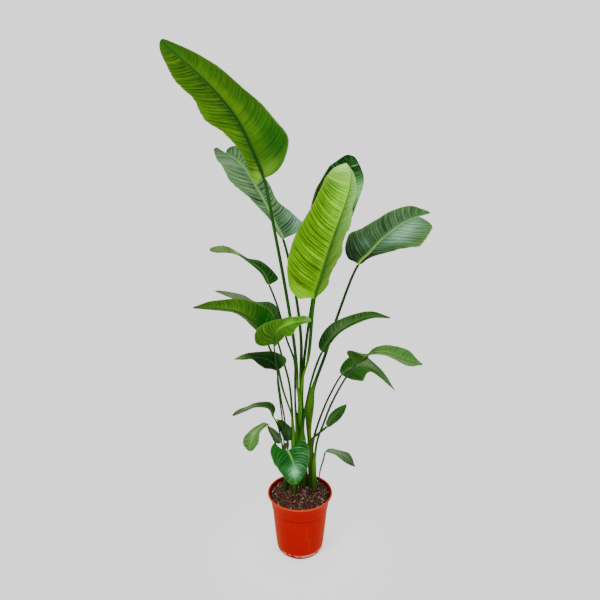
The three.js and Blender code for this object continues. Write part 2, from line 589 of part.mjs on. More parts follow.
function leafGeometry(leaf) {
  const run = leafPath(leaf);
  const upper = upperSide(leaf, run);
  const rows = leafStations(leaf, run).map(({ s, section }) => {
    const centre = run.path.getPointAt(s / run.total);
    const ahead = rowDirection(run, s);
    const up = upper(s, ahead);
    const side = new THREE.Vector3().crossVectors(ahead, up);
    const place = ([x, y, z]) => new THREE.Vector3()
      .addScaledVector(side, x)
      .addScaledVector(up, y)
      .addScaledVector(ahead, -z)
      .add(centre);
    const placed = ['outer', 'inner', 'middle'].map((key) => section[key]?.map(place));
    const u = (s - run.blade) / (run.total - run.blade);
    return { outer: placed[0], inner: placed[1], middle: placed[2], below: section.below, up, u };
  });
  const blade = rows.filter((row) => row.middle);
  const own = normals(blade.map((row) => row.middle));
  blade.forEach((row, i) => {
    const settled = step01(row.u, 0, BLADE.baseRound);
    const facing = own[i].map((v) => row.up.clone().lerp(v, settled).normalize());
    row.outer = row.middle.map((p, j) => p.clone().addScaledVector(facing[j], -row.below[j]));
    row.inner = row.middle.map((p, j) => p.clone().addScaledVector(facing[j], BLADE.thickness / 2));
  });
  return skin(rows, leaf.columns);
}

// closes the rows into one body, with the same diagonals on both faces of the blade
function skin(rows, columns) {
  const count = columns + 1;
  const positions = rows.flatMap(({ outer, inner }) => [...outer, ...inner]).flatMap((p) => p.toArray());
  const faces = [];
  const quad = (a, b, c, d) => faces.push(a, b, c, a, c, d);
  const turned = ([a, b, c, d]) => [a, d, c, b];
  for (let i = 0; i < rows.length - 1; i += 1) {
    const near = i * 2 * count;
    const far = near + 2 * count;
    for (let j = 0; j < columns; j += 1) {
      const mirrored = j >= columns / 2;
      const [p, q] = mirrored ? [j, j + 1] : [j + 1, j];
      const outerQuad = [near + p, near + q, far + q, far + p];
      const innerQuad = outerQuad.map((k) => k + count);
      quad(...(mirrored ? turned(outerQuad) : outerQuad));
      quad(...(mirrored ? innerQuad : turned(innerQuad)));
    }
    quad(near, near + count, far + count, far);
    quad(near + columns, far + columns, far + columns + count, near + columns + count);
  }
  const last = (rows.length - 1) * 2 * count;
  for (let j = 0; j < columns; j += 1) {
    quad(j, j + 1, j + 1 + count, j + count);
    quad(last + j, last + j + count, last + j + 1 + count, last + j + 1);
  }
  const geometry = new THREE.BufferGeometry();
  geometry.setAttribute('position', new THREE.Float32BufferAttribute(positions, 3));
  geometry.setIndex(faces);
  geometry.computeVertexNormals();
  return geometry;
}

const plant = new THREE.Group();
plant.name = 'potted_bird_of_paradise';
plant.add(solidMesh('pot', potGeometry(), 0xb8321a, 0.55));
plant.add(solidMesh('soil', soilGeometry(), 0x3a2418, 0.95));
for (const leaf of LEAVES) {
  plant.add(solidMesh(leaf.name, leafGeometry(leaf), leaf.color, 0.45));
}

export default plant;
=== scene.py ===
"""White bird of paradise in its nursery pot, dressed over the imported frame.

Lengths are worked out in millimetres and put into the meshes in metres. +Z is up and -Y is the front.
"""

import bpy
import numpy as np
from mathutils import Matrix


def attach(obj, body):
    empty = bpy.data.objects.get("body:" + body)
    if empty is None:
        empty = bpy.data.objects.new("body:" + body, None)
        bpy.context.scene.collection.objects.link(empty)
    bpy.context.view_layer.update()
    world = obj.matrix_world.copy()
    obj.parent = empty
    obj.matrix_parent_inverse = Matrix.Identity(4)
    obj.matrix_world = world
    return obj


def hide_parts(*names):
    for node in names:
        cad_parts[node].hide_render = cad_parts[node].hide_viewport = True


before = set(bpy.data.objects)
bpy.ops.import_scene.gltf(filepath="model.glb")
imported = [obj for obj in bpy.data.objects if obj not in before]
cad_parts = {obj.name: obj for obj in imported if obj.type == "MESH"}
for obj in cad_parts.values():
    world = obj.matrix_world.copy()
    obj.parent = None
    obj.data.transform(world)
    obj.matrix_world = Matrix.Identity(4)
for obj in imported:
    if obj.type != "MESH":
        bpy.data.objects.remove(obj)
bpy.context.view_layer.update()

# ---- nursery pot ----
# One injection moulding in brick-red polypropylene: a cone with a band below its rolled lip and eight
# drain slots through the bottom edge. It stands on its flat underside and carries everything else.
METRES = 0.001
POT_WALL = [(81, 0), (88, 8), (91.5, 30), (99, 100), (105, 168), (107.5, 172), (111.5, 198), (117.5, 219)]
POT_LIP = [(122.5, 221), (124, 224.5), (122.5, 228), (119, 228)]
POT_THICKNESS = 2.4
POT_FLOOR = (84, 3)  # radius inside and height
POT_ROUNDING = 1.6  # of its edges
POT_SEGMENTS = 192
POT_LONGEST = 12  # between points of its profile
SLOTS = 8
SLOT_SIZE = (24, 14, 14)  # along the radius, across it and high, half of it below the ground
SLOT_RADIUS = 89
POT_RED = (0.54, 0.0, 0.0)
POT_STAIN_AND_EDGE_REFLECTION = (0.58, 0.045, 0.0)  # painted reflection where the wall turns away from view, and the colour of its stains
# painted highlight of the rolled lip
POT_LIP_HIGHLIGHT = (0.86, 0.085, 0.02)
# pale scuffs with a painted highlight along the foot
POT_SCUFF_AND_HIGHLIGHT = (0.88, 0.46, 0.38)
POT_SHADE = (0.10, 0.0, 0.0)
POT_STEP = 168  # height at which the band below the lip ends
POT_MOUTH = (198.0, 110.7, 0.2857)  # height, radius there and slope of a cone inside the upper wall
SCUFF_AND_HIGHLIGHT_HEIGHT = 16.0


def rounded(profile, radius, steps=5):
    """Profile with each inner corner B between A and C replaced by a curve.

    With P and Q at `radius` from B, or a third of the edge where that is less, the curve is
    (1-t)^2 P + 2 t (1-t) B + t^2 Q for t from 0 to 1.
    """
    p = np.asarray(profile, float)
    a, b, c = p[:-2], p[1:-1], p[2:]
    to_a, to_c = a - b, c - b
    la = np.linalg.norm(to_a, axis=1, keepdims=True)
    lc = np.linalg.norm(to_c, axis=1, keepdims=True)
    start = b + to_a * np.minimum(radius / la, 1 / 3)
    end = b + to_c * np.minimum(radius / lc, 1 / 3)
    t = np.linspace(0, 1, steps)[:, None, None]
    arcs = (1 - t) ** 2 * start + 2 * t * (1 - t) * b + t ** 2 * end
    return np.vstack([p[:1], arcs.transpose(1, 0, 2).reshape(-1, 2), p[-1:]])


def divided(profile, longest):
    """Profile with points added so that no edge is longer than `longest`, spaced evenly along it."""
    p = np.asarray(profile, float)
    reach = np.concatenate([[0], np.cumsum(np.linalg.norm(np.diff(p, axis=0), axis=1))])
    even = np.arange(0, reach[-1], longest)
    at = np.unique(np.concatenate([reach, even]).round(4))
    return np.stack([np.interp(at, reach, p[:, k]) for k in (0, 1)], 1)


def build_mesh(name, points, faces, layers=None, smooth=True):
    """Object from points in millimetres and faces, with a float point attribute for each layer.

    A layer with four columns becomes a colour.
    """
    mesh = bpy.data.meshes.new(name)
    faces = faces.tolist() if isinstance(faces, np.ndarray) else faces
    mesh.from_pydata((np.asarray(points) * METRES).tolist(), [], faces)
    for key, values in (layers or {}).items():
        values = np.asarray(values, np.float32)
        kind = "FLOAT_COLOR" if values.ndim == 2 else "FLOAT"
        layer = mesh.attributes.new(key, kind, "POINT")
        layer.data.foreach_set("color" if values.ndim == 2 else "value", values.ravel())
    mesh.polygons.foreach_set("use_smooth", [smooth] * len(mesh.polygons))
    mesh.update()
    made = bpy.data.objects.new(name, mesh)
    bpy.context.scene.collection.objects.link(made)
    return made


def lathe(profile, segments):
    """Points and faces of a closed profile carried round the Z axis: (r cos q, r sin q, z).

    The profile starts and ends on the axis, where each end becomes a fan round one point.
    """
    r, z = np.asarray(profile, float)[1:-1].T
    q = np.arange(segments) * 2 * np.pi / segments
    ring = np.stack([np.outer(r, np.cos(q)), np.outer(r, np.sin(q)), np.outer(z, np.ones(segments))], -1)
    points = np.vstack([ring.reshape(-1, 3), [[0, 0, profile[0][1]], [0, 0, profile[-1][1]]]])
    i = np.arange(len(r) - 1)[:, None] * segments
    j = np.arange(segments)
    k = (j + 1) % segments
    quads = np.stack([i + j, i + k, i + segments + k, i + segments + j], -1).reshape(-1, 4)
    first, last = len(r) * segments, len(r) * segments + 1
    top = (len(r) - 1) * segments
    lower = np.stack([0 * j + first, k, j], 1)
    upper = np.stack([0 * j + last, top + j, top + k], 1)
    return points, quads.tolist() + lower.tolist() + upper.tolist()


def add_node(tree, kind, inputs=None, **settings):
    """Adds one node, sets its properties, then its inputs from plain values or other nodes' sockets."""
    made = tree.nodes.new(kind)
    for key, value in settings.items():
        setattr(made, key, value)
    for key, value in (inputs or {}).items():
        if isinstance(value, bpy.types.NodeSocket):
            tree.links.new(value, made.inputs[key])
        else:
            made.inputs[key].default_value = value
    return made


def maths(tree, operation, first, second=0.0):
    made = add_node(tree, "ShaderNodeMath", {0: first, 1: second}, operation=operation)
    return made.outputs[0]


def times(tree, first, second):
    return maths(tree, "MULTIPLY", first, second)


def plus(tree, first, second):
    return maths(tree, "ADD", first, second)


def minus(tree, first, second):
    return maths(tree, "SUBTRACT", first, second)


def between(tree, value, low, high, out_low=0.0, out_high=1.0):
    """Smoothly remaps value from low..high to out_low..out_high."""
    inputs = {"Value": value, "From Min": low, "From Max": high, "To Min": out_low, "To Max": out_high}
    made = add_node(tree, "ShaderNodeMapRange", inputs, interpolation_type="SMOOTHSTEP")
    return made.outputs["Result"]


def blend_colors(tree, factor, first, second):
    inputs = {0: factor, 6: first, 7: second}
    made = add_node(tree, "ShaderNodeMix", inputs, data_type="RGBA")
    return made.outputs[2]


def noise(tree, vector, scale, detail, roughness):
    inputs = {"Vector": vector, "Scale": scale, "Detail": detail, "Roughness": roughness}
    return add_node(tree, "ShaderNodeTexNoise", inputs).outputs["Fac"]


def object_place(tree):
    return tree.nodes.new("ShaderNodeTexCoord").outputs["Object"]


def own_value(tree, name):
    """Number that the mesh carries at each point under that name."""
    return add_node(tree, "ShaderNodeAttribute", attribute_name=name).outputs["Fac"]


def add_relief(tree, shader, height, strength, distance):
    """Bumps the shader's normal, by `distance` metres where the height is 1."""
    inputs = {"Height": height, "Strength": strength, "Distance": distance}
    bump = add_node(tree, "ShaderNodeBump", inputs)
    tree.links.new(bump.outputs["Normal"], shader.inputs["Normal"])


def new_material(name, **constants):
    """Material with a Principled shader whose plain sockets take the given constants."""
    material = bpy.data.materials.new(name)
    material.use_nodes = True
    shader = material.node_tree.nodes["Principled BSDF"]
    for key, value in constants.items():
        shader.inputs[key.replace("_", " ")].default_value = value
    return material, material.node_tree, shader


def new_group(name, inputs, outputs):
    """Empty node group with the named sockets: a colour for four values, otherwise a number."""
    group = bpy.data.node_groups.new(name, "ShaderNodeTree")
    for key, value in inputs.items():
        kind = "NodeSocketColor" if isinstance(value, tuple) else "NodeSocketFloat"
        socket = group.interface.new_socket(key, in_out="INPUT", socket_type=kind)
        socket.default_value = value
    for key, kind in outputs.items():
        group.interface.new_socket(key, in_out="OUTPUT", socket_type=kind)
    entry = group.nodes.new("NodeGroupInput")
    leave = group.nodes.new("NodeGroupOutput")
    return group, entry.outputs, leave.inputs


def grain_group():
    """Fine irregular grain of a moulded or worn surface, and broad patches where it is duller."""
    sockets = {"Value": "NodeSocketFloat", "Patches": "NodeSocketFloat"}
    group, given, result = new_group("surface_grain", {"Scale": 400.0, "Patch scale": 12.0}, sockets)
    where = object_place(group)
    group.links.new(noise(group, where, given["Scale"], 4.0, 0.6), result["Value"])
    group.links.new(noise(group, where, given["Patch scale"], 3.0, 0.55), result["Patches"])
    return group


def add_grain(tree, group, scale, patch_scale):
    grain = add_node(tree, "ShaderNodeGroup", node_tree=group)
    grain.inputs["Scale"].default_value = scale
    grain.inputs["Patch scale"].default_value = patch_scale
    return grain


def cut_slots(pot):
    """Takes the drain slots, as boxes turned evenly round the axis, out of the bottom edge."""
    corners = np.array([(x, y, z) for x in (-0.5, 0.5) for y in (-0.5, 0.5) for z in (-0.5, 0.5)])
    box = corners * SLOT_SIZE + (SLOT_RADIUS, 0, 0)
    q = (np.arange(SLOTS) + 0.5) * 2 * np.pi / SLOTS
    none = 0 * q
    turn = np.array([[np.cos(q), -np.sin(q), none], [np.sin(q), np.cos(q), none], [none, none, none + 1]])
    points = np.einsum("abn,vb->nva", turn, box).reshape(-1, 3)
    sides = np.array([(0, 1, 3, 2), (4, 6, 7, 5), (0, 4, 5, 1), (2, 3, 7, 6), (0, 2, 6, 4), (1, 5, 7, 3)])
    quads = (sides[None] + 8 * np.arange(SLOTS)[:, None, None]).reshape(-1, 4)
    cutter = build_mesh("slot_cutter", points, quads, smooth=False)
    cut = pot.modifiers.new("slots", "BOOLEAN")
    cut.operation = "DIFFERENCE"
    cut.object = cutter
    cut.solver = "EXACT"
    bpy.context.view_layer.update()
    finished = bpy.data.meshes.new_from_object(pot.evaluated_get(bpy.context.evaluated_depsgraph_get()))
    pot.modifiers.clear()
    pot.data = finished
    bpy.data.objects.remove(cutter)


def moulded_plastic():
    """Brick-red polypropylene: satin, more orange towards its sides as a painted reflection and in stains,
    with a painted highlight along the lip, painted shade inside the mouth, under the step and along the
    bottom, and pale scuffs with a painted highlight along the foot.
    """
    material, tree, shader = new_material("red_polypropylene", IOR=1.49, Specular_IOR_Level=0.03)
    where = object_place(tree)
    grain = add_grain(tree, grain_group(), 900.0, 14.0)
    place = add_node(tree, "ShaderNodeSeparateXYZ", {"Vector": where})
    height = times(tree, place.outputs["Z"], 1 / METRES)
    level = add_node(tree, "ShaderNodeVectorMath", {0: where, 1: (1, 1, 0)}, operation="MULTIPLY").outputs[0]
    radius = add_node(tree, "ShaderNodeVectorMath", {0: level}, operation="LENGTH").outputs["Value"]
    radius = times(tree, radius, 1 / METRES)

    # Painted reflection: more orange where the wall turns away from view; the stained streaks add orange as
    # well.
    turned = add_node(tree, "ShaderNodeLayerWeight", {"Blend": 0.35}).outputs["Facing"]
    streaky = add_node(tree, "ShaderNodeMapping", {"Vector": where, "Scale": (60.0, 60.0, 5.0)})
    streaks = between(tree, noise(tree, streaky.outputs[0], 1.0, 5.0, 0.6), 0.5, 0.75)
    dull = between(tree, grain.outputs["Patches"], 0.42, 0.7)
    stained = times(tree, times(tree, streaks, dull), 0.5)
    orange = maths(tree, "MAXIMUM", between(tree, turned, 0.2, 0.75), stained)
    color = blend_colors(tree, orange, POT_RED + (1,), POT_STAIN_AND_EDGE_REFLECTION + (1,))
    # Painted highlight along the rolled lip.
    lip = times(tree, between(tree, height, 222.0, 226.0), 0.85)
    color = blend_colors(tree, lip, color, POT_LIP_HIGHLIGHT + (1,))
    # Painted shade inside the mouth above the soil, under the step and along the bottom.
    mouth = times(tree, between(tree, height, 226.5, 223.0), between(tree, height, 190.0, 200.0))
    mouth_height, mouth_radius, mouth_slope = POT_MOUTH
    wall = plus(tree, times(tree, minus(tree, height, mouth_height), mouth_slope), mouth_radius)
    mouth = times(tree, mouth, between(tree, minus(tree, radius, wall), 0.3, -0.3))
    step = between(tree, maths(tree, "ABSOLUTE", minus(tree, height, POT_STEP)), 4.5, 1.5)
    under = times(tree, between(tree, height, 11.5, 9.5), 0.7)
    shade = maths(tree, "MAXIMUM", times(tree, mouth, 0.8), times(tree, step, 0.45))
    color = blend_colors(tree, maths(tree, "MAXIMUM", shade, under), color, POT_SHADE + (1,))
    # Pale scuffs and a painted highlight, broken into patches, in a band along the foot.
    edge = between(tree, maths(tree, "ABSOLUTE", minus(tree, height, SCUFF_AND_HIGHLIGHT_HEIGHT)), 5.0, 2.0)
    scuff_and_glint_patches = between(tree, noise(tree, where, 30.0, 4.0, 0.65), 0.44, 0.54)
    scuff_and_highlight = times(tree, times(tree, edge, scuff_and_glint_patches), 0.82)
    color = blend_colors(tree, scuff_and_highlight, color, POT_SCUFF_AND_HIGHLIGHT + (1,))
    tree.links.new(color, shader.inputs["Base Color"])

    rough = plus(tree, times(tree, grain.outputs["Patches"], 0.22), 0.3)
    tree.links.new(plus(tree, rough, times(tree, scuff_and_highlight, 0.3)), shader.inputs["Roughness"])
    rings = maths(tree, "SINE", times(tree, height, 2.6))
    relief = plus(tree, grain.outputs["Value"], times(tree, rings, 0.12))
    add_relief(tree, shader, relief, 0.25, 0.0004)
    return material


pot_inside = [(r - POT_THICKNESS, z) for r, z in POT_WALL[:1:-1]]
pot_profile = [(0, 0), *POT_WALL, *POT_LIP, *pot_inside, POT_FLOOR, (0, POT_FLOOR[1])]
pot_points, pot_faces = lathe(divided(rounded(pot_profile, POT_ROUNDING), POT_LONGEST), POT_SEGMENTS)
pot = build_mesh("nursery_pot", pot_points, pot_faces)
cut_slots(pot)
pot.data.polygons.foreach_set("use_smooth", [True] * len(pot.data.polygons))
pot.data.set_sharp_from_angle(angle=np.radians(40))
pot.data.materials.clear()
pot.data.materials.append(moulded_plastic())
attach(pot, "root")
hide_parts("pot")

# ---- potting soil ----
# Peat and coir pressed down to a shallow crown just under the lip, with crumbs of bark and white perlite
# lying on it. It fills the pot and holds the six shoots.
SOIL_FLOOR = (83.7, 3.3)  # radius and height
SOIL_SIDE = [(88.8, 30), (96.3, 100), (102.3, 168), (104.8, 172), (108.8, 198)]
SOIL_EDGE = 113.4  # radius of the surface where it meets the pot
SOIL_TOP = 217
SOIL_CROWN = 2.2  # how far the middle stands above that
SOIL_FALL = (2.6, 14)  # depth and width of the slope down to the pot
SOIL_WAVES = ((52, 0.9), (23, 0.6), (11, 0.45), (5.5, 0.4), (3.1, 0.3))  # length and height
MOUND = (2.0, 7)  # height and width of the soil drawn up round a shoot
SOIL_RINGS = 70
SOIL_SEGMENTS = 200
SHOOT_FEET = {
    "back": (11, 58), "right": (48, 34), "front": (-21, -7), "left": (-55, 26), "rear": (-48, 64),
    "single": (70, 52),
}
SHOOT_GIRTH = {"back": 22, "right": 18, "front": 11, "left": 10, "rear": 14, "single": 4}
SOIL_BROWN = (0.050, 0.013, 0.007)
SOIL_PALE = (0.15, 0.055, 0.03)


def soil_height(x, y):
    """Height of the surface: crown cos(pi r / 2 edge), less fall ((r - edge + width) / width)^2.

    To that come five seeded waves of each length in SOIL_WAVES, and round each shoot of girth g, at the
    distance d from it, a mound of exp(-((d - g) / width)^2).
    """
    r = np.hypot(x, y)
    height = SOIL_TOP + SOIL_CROWN * np.cos(np.clip(r / SOIL_EDGE, 0, 1) * np.pi / 2)
    fall, sloped = SOIL_FALL
    height -= fall * np.clip((r - SOIL_EDGE + sloped) / sloped, 0, 1) ** 2
    draw = np.random.default_rng(7)
    for size, tall in SOIL_WAVES:
        for bearing, shift in draw.uniform(0, 2 * np.pi, (5, 2)):
            along = x * np.cos(bearing) + y * np.sin(bearing)
            height += 0.45 * tall * np.sin(along * 2 * np.pi / size + shift)
    tall, broad = MOUND
    for name, (fx, fy) in SHOOT_FEET.items():
        height += tall * np.exp(-((np.hypot(x - fx, y - fy) - SHOOT_GIRTH[name]) / broad) ** 2)
    return height


def soil_body():
    """Lathe of the filled pot, with its top surface lifted to soil_height."""
    top = [(SOIL_EDGE * k / SOIL_RINGS, SOIL_TOP) for k in range(SOIL_RINGS, 0, -1)]
    profile = [(0, SOIL_FLOOR[1]), SOIL_FLOOR, *SOIL_SIDE, *top, (0, SOIL_TOP)]
    points, faces = lathe(profile, SOIL_SEGMENTS)
    upper = points[:, 2] > SOIL_TOP - 1
    points[upper, 2] = soil_height(points[upper, 0], points[upper, 1])
    return build_mesh("potting_soil", points, faces)


def crumbs(name, count, sizes, flatness, seed, material):
    """Scattered grains: an octahedron cut once to 32 faces, with each point moved out by a random share.

    Grains are spread evenly by area, at radius R sqrt(v), and moved out of the shoots. Each is turned at
    random, with its centre a quarter of its thickness above the soil.
    """
    draw = np.random.default_rng(seed)
    axis = np.vstack([np.eye(3), -np.eye(3)])
    corner = [(0, 1, 2), (1, 3, 2), (3, 4, 2), (4, 0, 2), (1, 0, 5), (3, 1, 5), (4, 3, 5), (0, 4, 5)]
    edges = sorted({tuple(sorted(pair)) for f in corner for pair in zip(f, f[1:] + f[:1])})
    middle = {pair: 6 + k for k, pair in enumerate(edges)}
    mids = np.array([axis[a] + axis[b] for a, b in edges]) / np.sqrt(2)
    ball = np.vstack([axis, mids])
    faces = []
    for a, b, c in corner:
        ab, bc, ca = (middle[tuple(sorted(pair))] for pair in ((a, b), (b, c), (c, a)))
        faces += [(a, ab, ca), (ab, b, bc), (ca, bc, c), (ab, bc, ca)]
    q = draw.uniform(0, 2 * np.pi, count)
    r = (SOIL_EDGE - 3) * np.sqrt(draw.uniform(0, 1, count))
    x, y = r * np.cos(q), r * np.sin(q)
    for foot, (fx, fy) in SHOOT_FEET.items():
        away = np.hypot(x - fx, y - fy)
        push = np.clip(SHOOT_GIRTH[foot] * 0.75 + 2 - away, 0, None) / np.maximum(away, 0.1)
        x, y = x + (x - fx) * push, y + (y - fy) * push
    size = draw.uniform(0, 1, count) ** 2.2 * (sizes[1] - sizes[0]) + sizes[0]
    turn, _ = np.linalg.qr(draw.normal(size=(count, 3, 3)))
    turn *= np.sign(np.linalg.det(turn))[:, None, None]
    lumps = ball[None] * draw.uniform(0.72, 1.15, (count, len(ball), 1))
    lumps = lumps * np.stack([size, size * draw.uniform(0.6, 1, count), size * flatness], -1)[:, None]
    spots = np.stack([x, y, soil_height(x, y) + 0.25 * size * flatness], -1)
    points = np.einsum("nab,nvb->nva", turn, lumps) + spots[:, None]
    every = (np.array(faces)[None] + len(ball) * np.arange(count)[:, None, None]).reshape(-1, 3)
    shade = np.repeat(draw.uniform(0, 1, count), len(ball))
    made = build_mesh(name, points.reshape(-1, 3), every, {"shade": shade}, smooth=False)
    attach(made, "root")
    made.data.materials.append(material)


def crumbly(name, dark, pale, roughness, scale):
    """Matt mineral or peat: two tones by noise and by each grain's own shade, with a grainy bump."""
    material, tree, shader = new_material(name, Roughness=roughness, Specular_IOR_Level=0.25)
    grain = add_grain(tree, bpy.data.node_groups["surface_grain"], scale, 60.0)
    own = own_value(tree, "shade")
    patches = times(tree, grain.outputs["Patches"], 0.6)
    tone = plus(tree, patches, times(tree, own, 0.6))
    tone = plus(tree, tone, times(tree, grain.outputs["Value"], 0.35))
    color = blend_colors(tree, between(tree, tone, 0.35, 1.15), dark + (1,), pale + (1,))
    tree.links.new(color, shader.inputs["Base Color"])
    add_relief(tree, shader, grain.outputs["Value"], 0.7, 0.0015)
    return material


soil = soil_body()
soil.data.materials.append(crumbly("damp_peat", SOIL_BROWN, SOIL_PALE, 0.9, 420.0))
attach(soil, "root")
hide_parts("soil")
bark = crumbly("bark_crumb", (0.024, 0.006, 0.003), (0.24, 0.105, 0.055), 0.85, 700.0)
perlite = crumbly("perlite", (0.42, 0.27, 0.18), (0.88, 0.76, 0.64), 0.8, 900.0)
crumbs("bark_crumbs", 1300, (1.0, 4.6), 0.6, 11, bark)
crumbs("perlite_grains", 360, (0.8, 2.7), 0.85, 12, perlite)

# ---- leaves ----
# Each leaf is one growth: a sheath wrapped round its shoot, a stalk with a channel on its upper side, and
# a paddle blade pleated along its cross veins, a millimetre thick, with a midrib that stands out below.
SHOOTS = {
    "back": dict(line=[[11, 58, 217], [6, 55, 309], [0, 52, 450], [5, 50, 620], [16, 44, 710]],
                 inner=4.2, step=3.4),
    "right": dict(line=[[48, 34, 217], [45, 36, 309], [34, 34, 459], [36, 34, 580]], inner=7.4, step=3.3),
    "front": dict(line=[[-21, -7, 217], [-23, -4, 434], [-26, 0, 555]], inner=6.5, step=3.4),
    "left": dict(line=[[-55, 26, 217], [-53, 22, 397]], inner=3.4, step=3.1),
    "rear": dict(line=[[-48, 64, 217], [-54, 54, 340]], inner=3.4, step=3.2),
    "single": dict(line=[[70, 52, 217], [70, 52, 230]], inner=3.4, step=0),
}
FOOT = 167.3  # height of the sheaths' lower end, inside the soil
CURVE_STEPS = 40  # between two points that a curve goes through
SHEATH = dict(thickness=2, opening=20, mouth_half=62, narrowing=80)
STALK_WRAP = 108  # degrees of the round part to each side of its back
STALK_EDGE = 0.4  # by which the wings along a stalk stand out
MARGIN_COLOR = "a8b060"
FOOT_COLOR = "2c4018"  # of the sheaths near the soil
BLADE = dict(thickness=0.9, width_step=0.16, base=0.07, tip=0.2, ridge_end=1.2, edge=1.0,
             bow=0.07, evening=0.08, slant=0.1)
WAVE = dict(height=0.05, length=150, lag=2.1)


def smooth(x, low, high):
    """0 below low, 1 above high, and t^2 (3 - 2t) between them."""
    t = np.clip((x - low) / (high - low), 0, 1)
    return t * t * (3 - 2 * t)


def unit(v):
    return v / np.maximum(np.linalg.norm(v, axis=-1, keepdims=True), 1e-9)


def spread_out(values, u):
    """Value at u of numbers or vectors spread evenly over 0..1 and joined by straight lines."""
    values = np.asarray(values, float)
    x = np.linspace(0, 1, len(values))
    if values.ndim == 1:
        return np.interp(u, x, values)
    return np.stack([np.interp(u, x, column) for column in values.T], -1)


def curve_through(points):
    """Centripetal Catmull-Rom curve, as points and the length run to each.

    Between B and C, with g the square roots of the gaps, it is the cubic that leaves B along
    ((B-A)/g0 - (C-A)/(g0+g1) + (C-B)/g1) g1 and reaches C the same way.
    """
    p = np.asarray(points, float)
    p = np.vstack([2 * p[0] - p[1], p, 2 * p[-1] - p[-2]])
    gap = np.sqrt(np.linalg.norm(np.diff(p, axis=0), axis=1))[:, None]
    a, b, c, d = p[:-3], p[1:-2], p[2:-1], p[3:]
    before, here, after = gap[:-2], gap[1:-1], gap[2:]
    leaving = ((b - a) / before - (c - a) / (before + here) + (c - b) / here) * here
    coming = ((c - b) / here - (d - b) / (here + after) + (d - c) / after) * here
    t = np.arange(CURVE_STEPS)[:, None, None] / CURVE_STEPS
    cubic = 2 * b - 2 * c + leaving + coming
    square = 3 * c - 3 * b - 2 * leaving - coming
    inner = (b + leaving * t + square * t ** 2 + cubic * t ** 3).transpose(1, 0, 2).reshape(-1, 3)
    line = np.vstack([inner, p[-2]])
    return line, np.concatenate([[0], np.cumsum(np.linalg.norm(np.diff(line, axis=0), axis=1))])


def on_curve(curve, s):
    line, run = curve
    return np.stack([np.interp(s, run, line[:, k]) for k in range(3)], -1)


def heading(curve, s, reach=1.5):
    end = curve[1][-1]
    return unit(on_curve(curve, np.minimum(s + reach, end)) - on_curve(curve, np.maximum(s - reach, 0)))


def sheath_radius(leaf, z):
    shoot = SHOOTS[leaf["shoot"]]
    extra, length = leaf.get("spread", (0, 1))
    opened = extra * smooth(z, leaf["mouth"] - length, leaf["mouth"])
    return shoot["inner"] + shoot["step"] * leaf["ring"] + opened


def leaf_path(leaf):
    """Curve from the sheath's foot through its mouth, the stalk and the midrib to the tip.

    The sheath's points are the shoot's line at each height, moved out by its radius towards its back.
    """
    line = np.asarray(SHOOTS[leaf["shoot"]]["line"], float)
    line = np.vstack([line[0] - (0, 0, 60), line, line[-1] + 4 * (line[-1] - line[-2])])
    neck = leaf["mouth"] - 50
    bends = [z for z in line[2:-1, 2] if z < neck - 10]
    z = np.array([FOOT, SOIL_TOP, *bends, *([neck] if neck > SOIL_TOP + 15 else []), leaf["mouth"]])
    away = np.radians(leaf["back"])
    out = np.array([np.cos(away), np.sin(away)])
    middle = np.stack([np.interp(z, line[:, 2], line[:, k]) for k in (0, 1)], -1)
    points = np.column_stack([middle + out * sheath_radius(leaf, z)[:, None], z])
    points[-1, :2] += out * SHEATH["thickness"]
    points = np.vstack([points, leaf["stalk"], leaf["rib"]])
    curve = curve_through(points)
    mouth = curve[1][(len(z) - 1) * CURVE_STEPS]
    blade = curve[1][(len(points) - len(leaf["rib"])) * CURVE_STEPS]
    return curve, mouth, blade, curve[1][-1]


def square_to(direction, ahead):
    return unit(direction - (direction * ahead).sum(-1, keepdims=True) * ahead)


def upper_side(leaf, path, s, ahead):
    """Direction that the upper side faces.

    The sheath's faces the shoot's line and the blade's follows `face`. Along the stalk the sheath's is
    carried without turning about the stalk, then turned by the angle still missing, as t^2 (3 - 2t).
    """
    curve, mouth, blade, total = path
    away = np.radians(leaf["back"])
    inward = np.array([-np.cos(away), -np.sin(away), 0])
    faces = unit(np.asarray(leaf["face"], float))
    steps = np.linspace(mouth, blade, 81)
    carried = []
    for tangent in heading(curve, steps):
        carried.append(square_to(carried[-1] if carried else inward, tangent))
    end = heading(curve, blade)
    first = square_to(faces[0], end)
    missing = np.arctan2(np.cross(carried[-1], first) @ end, carried[-1] @ first)
    held = square_to(np.stack([np.interp(s, steps, c) for c in np.array(carried).T], -1), ahead)
    turn = (missing * smooth(s, mouth, blade))[:, None]
    stalk = held * np.cos(turn) + np.cross(ahead, held) * np.sin(turn)
    sheath = square_to(np.broadcast_to(inward, ahead.shape), ahead)
    leafy = square_to(spread_out(faces, (s - blade) / (total - blade)), ahead)
    s = s[:, None]
    return np.where(s <= mouth, sheath, np.where(s >= blade, leafy, stalk))


def half_width(widths, share):
    """Catmull-Rom curve through the listed half widths, rounded off at the base and the tip."""
    w = np.asarray(widths, float)
    x = np.minimum(share / BLADE["width_step"], len(w) - 1)
    i = np.minimum(np.floor(x).astype(int), len(w) - 2)
    t = x - i
    a, b, c, d = (w[np.clip(i + k, 0, len(w) - 1)] for k in (-1, 0, 1, 2))
    square, cube = 2 * a - 5 * b + 4 * c - d, 3 * b - a - 3 * c + d
    listed = 0.5 * (2 * b + (c - a) * t + square * t ** 2 + cube * t ** 3)
    base = np.clip(share / BLADE["base"], 0, 1)
    tip = np.clip((share - 1) / BLADE["tip"] + 1, 0, 1)
    return np.maximum(listed * np.sqrt(1 - (1 - base) ** 2.4) * np.sqrt(1 - tip ** 2), BLADE["edge"])


def grid_normals(grid):
    """Unit normals of a grid of points: across x ahead, each from a point's neighbours."""
    across = np.gradient(grid, axis=1)
    ahead = np.gradient(grid, axis=0)
    return unit(np.cross(across, ahead))


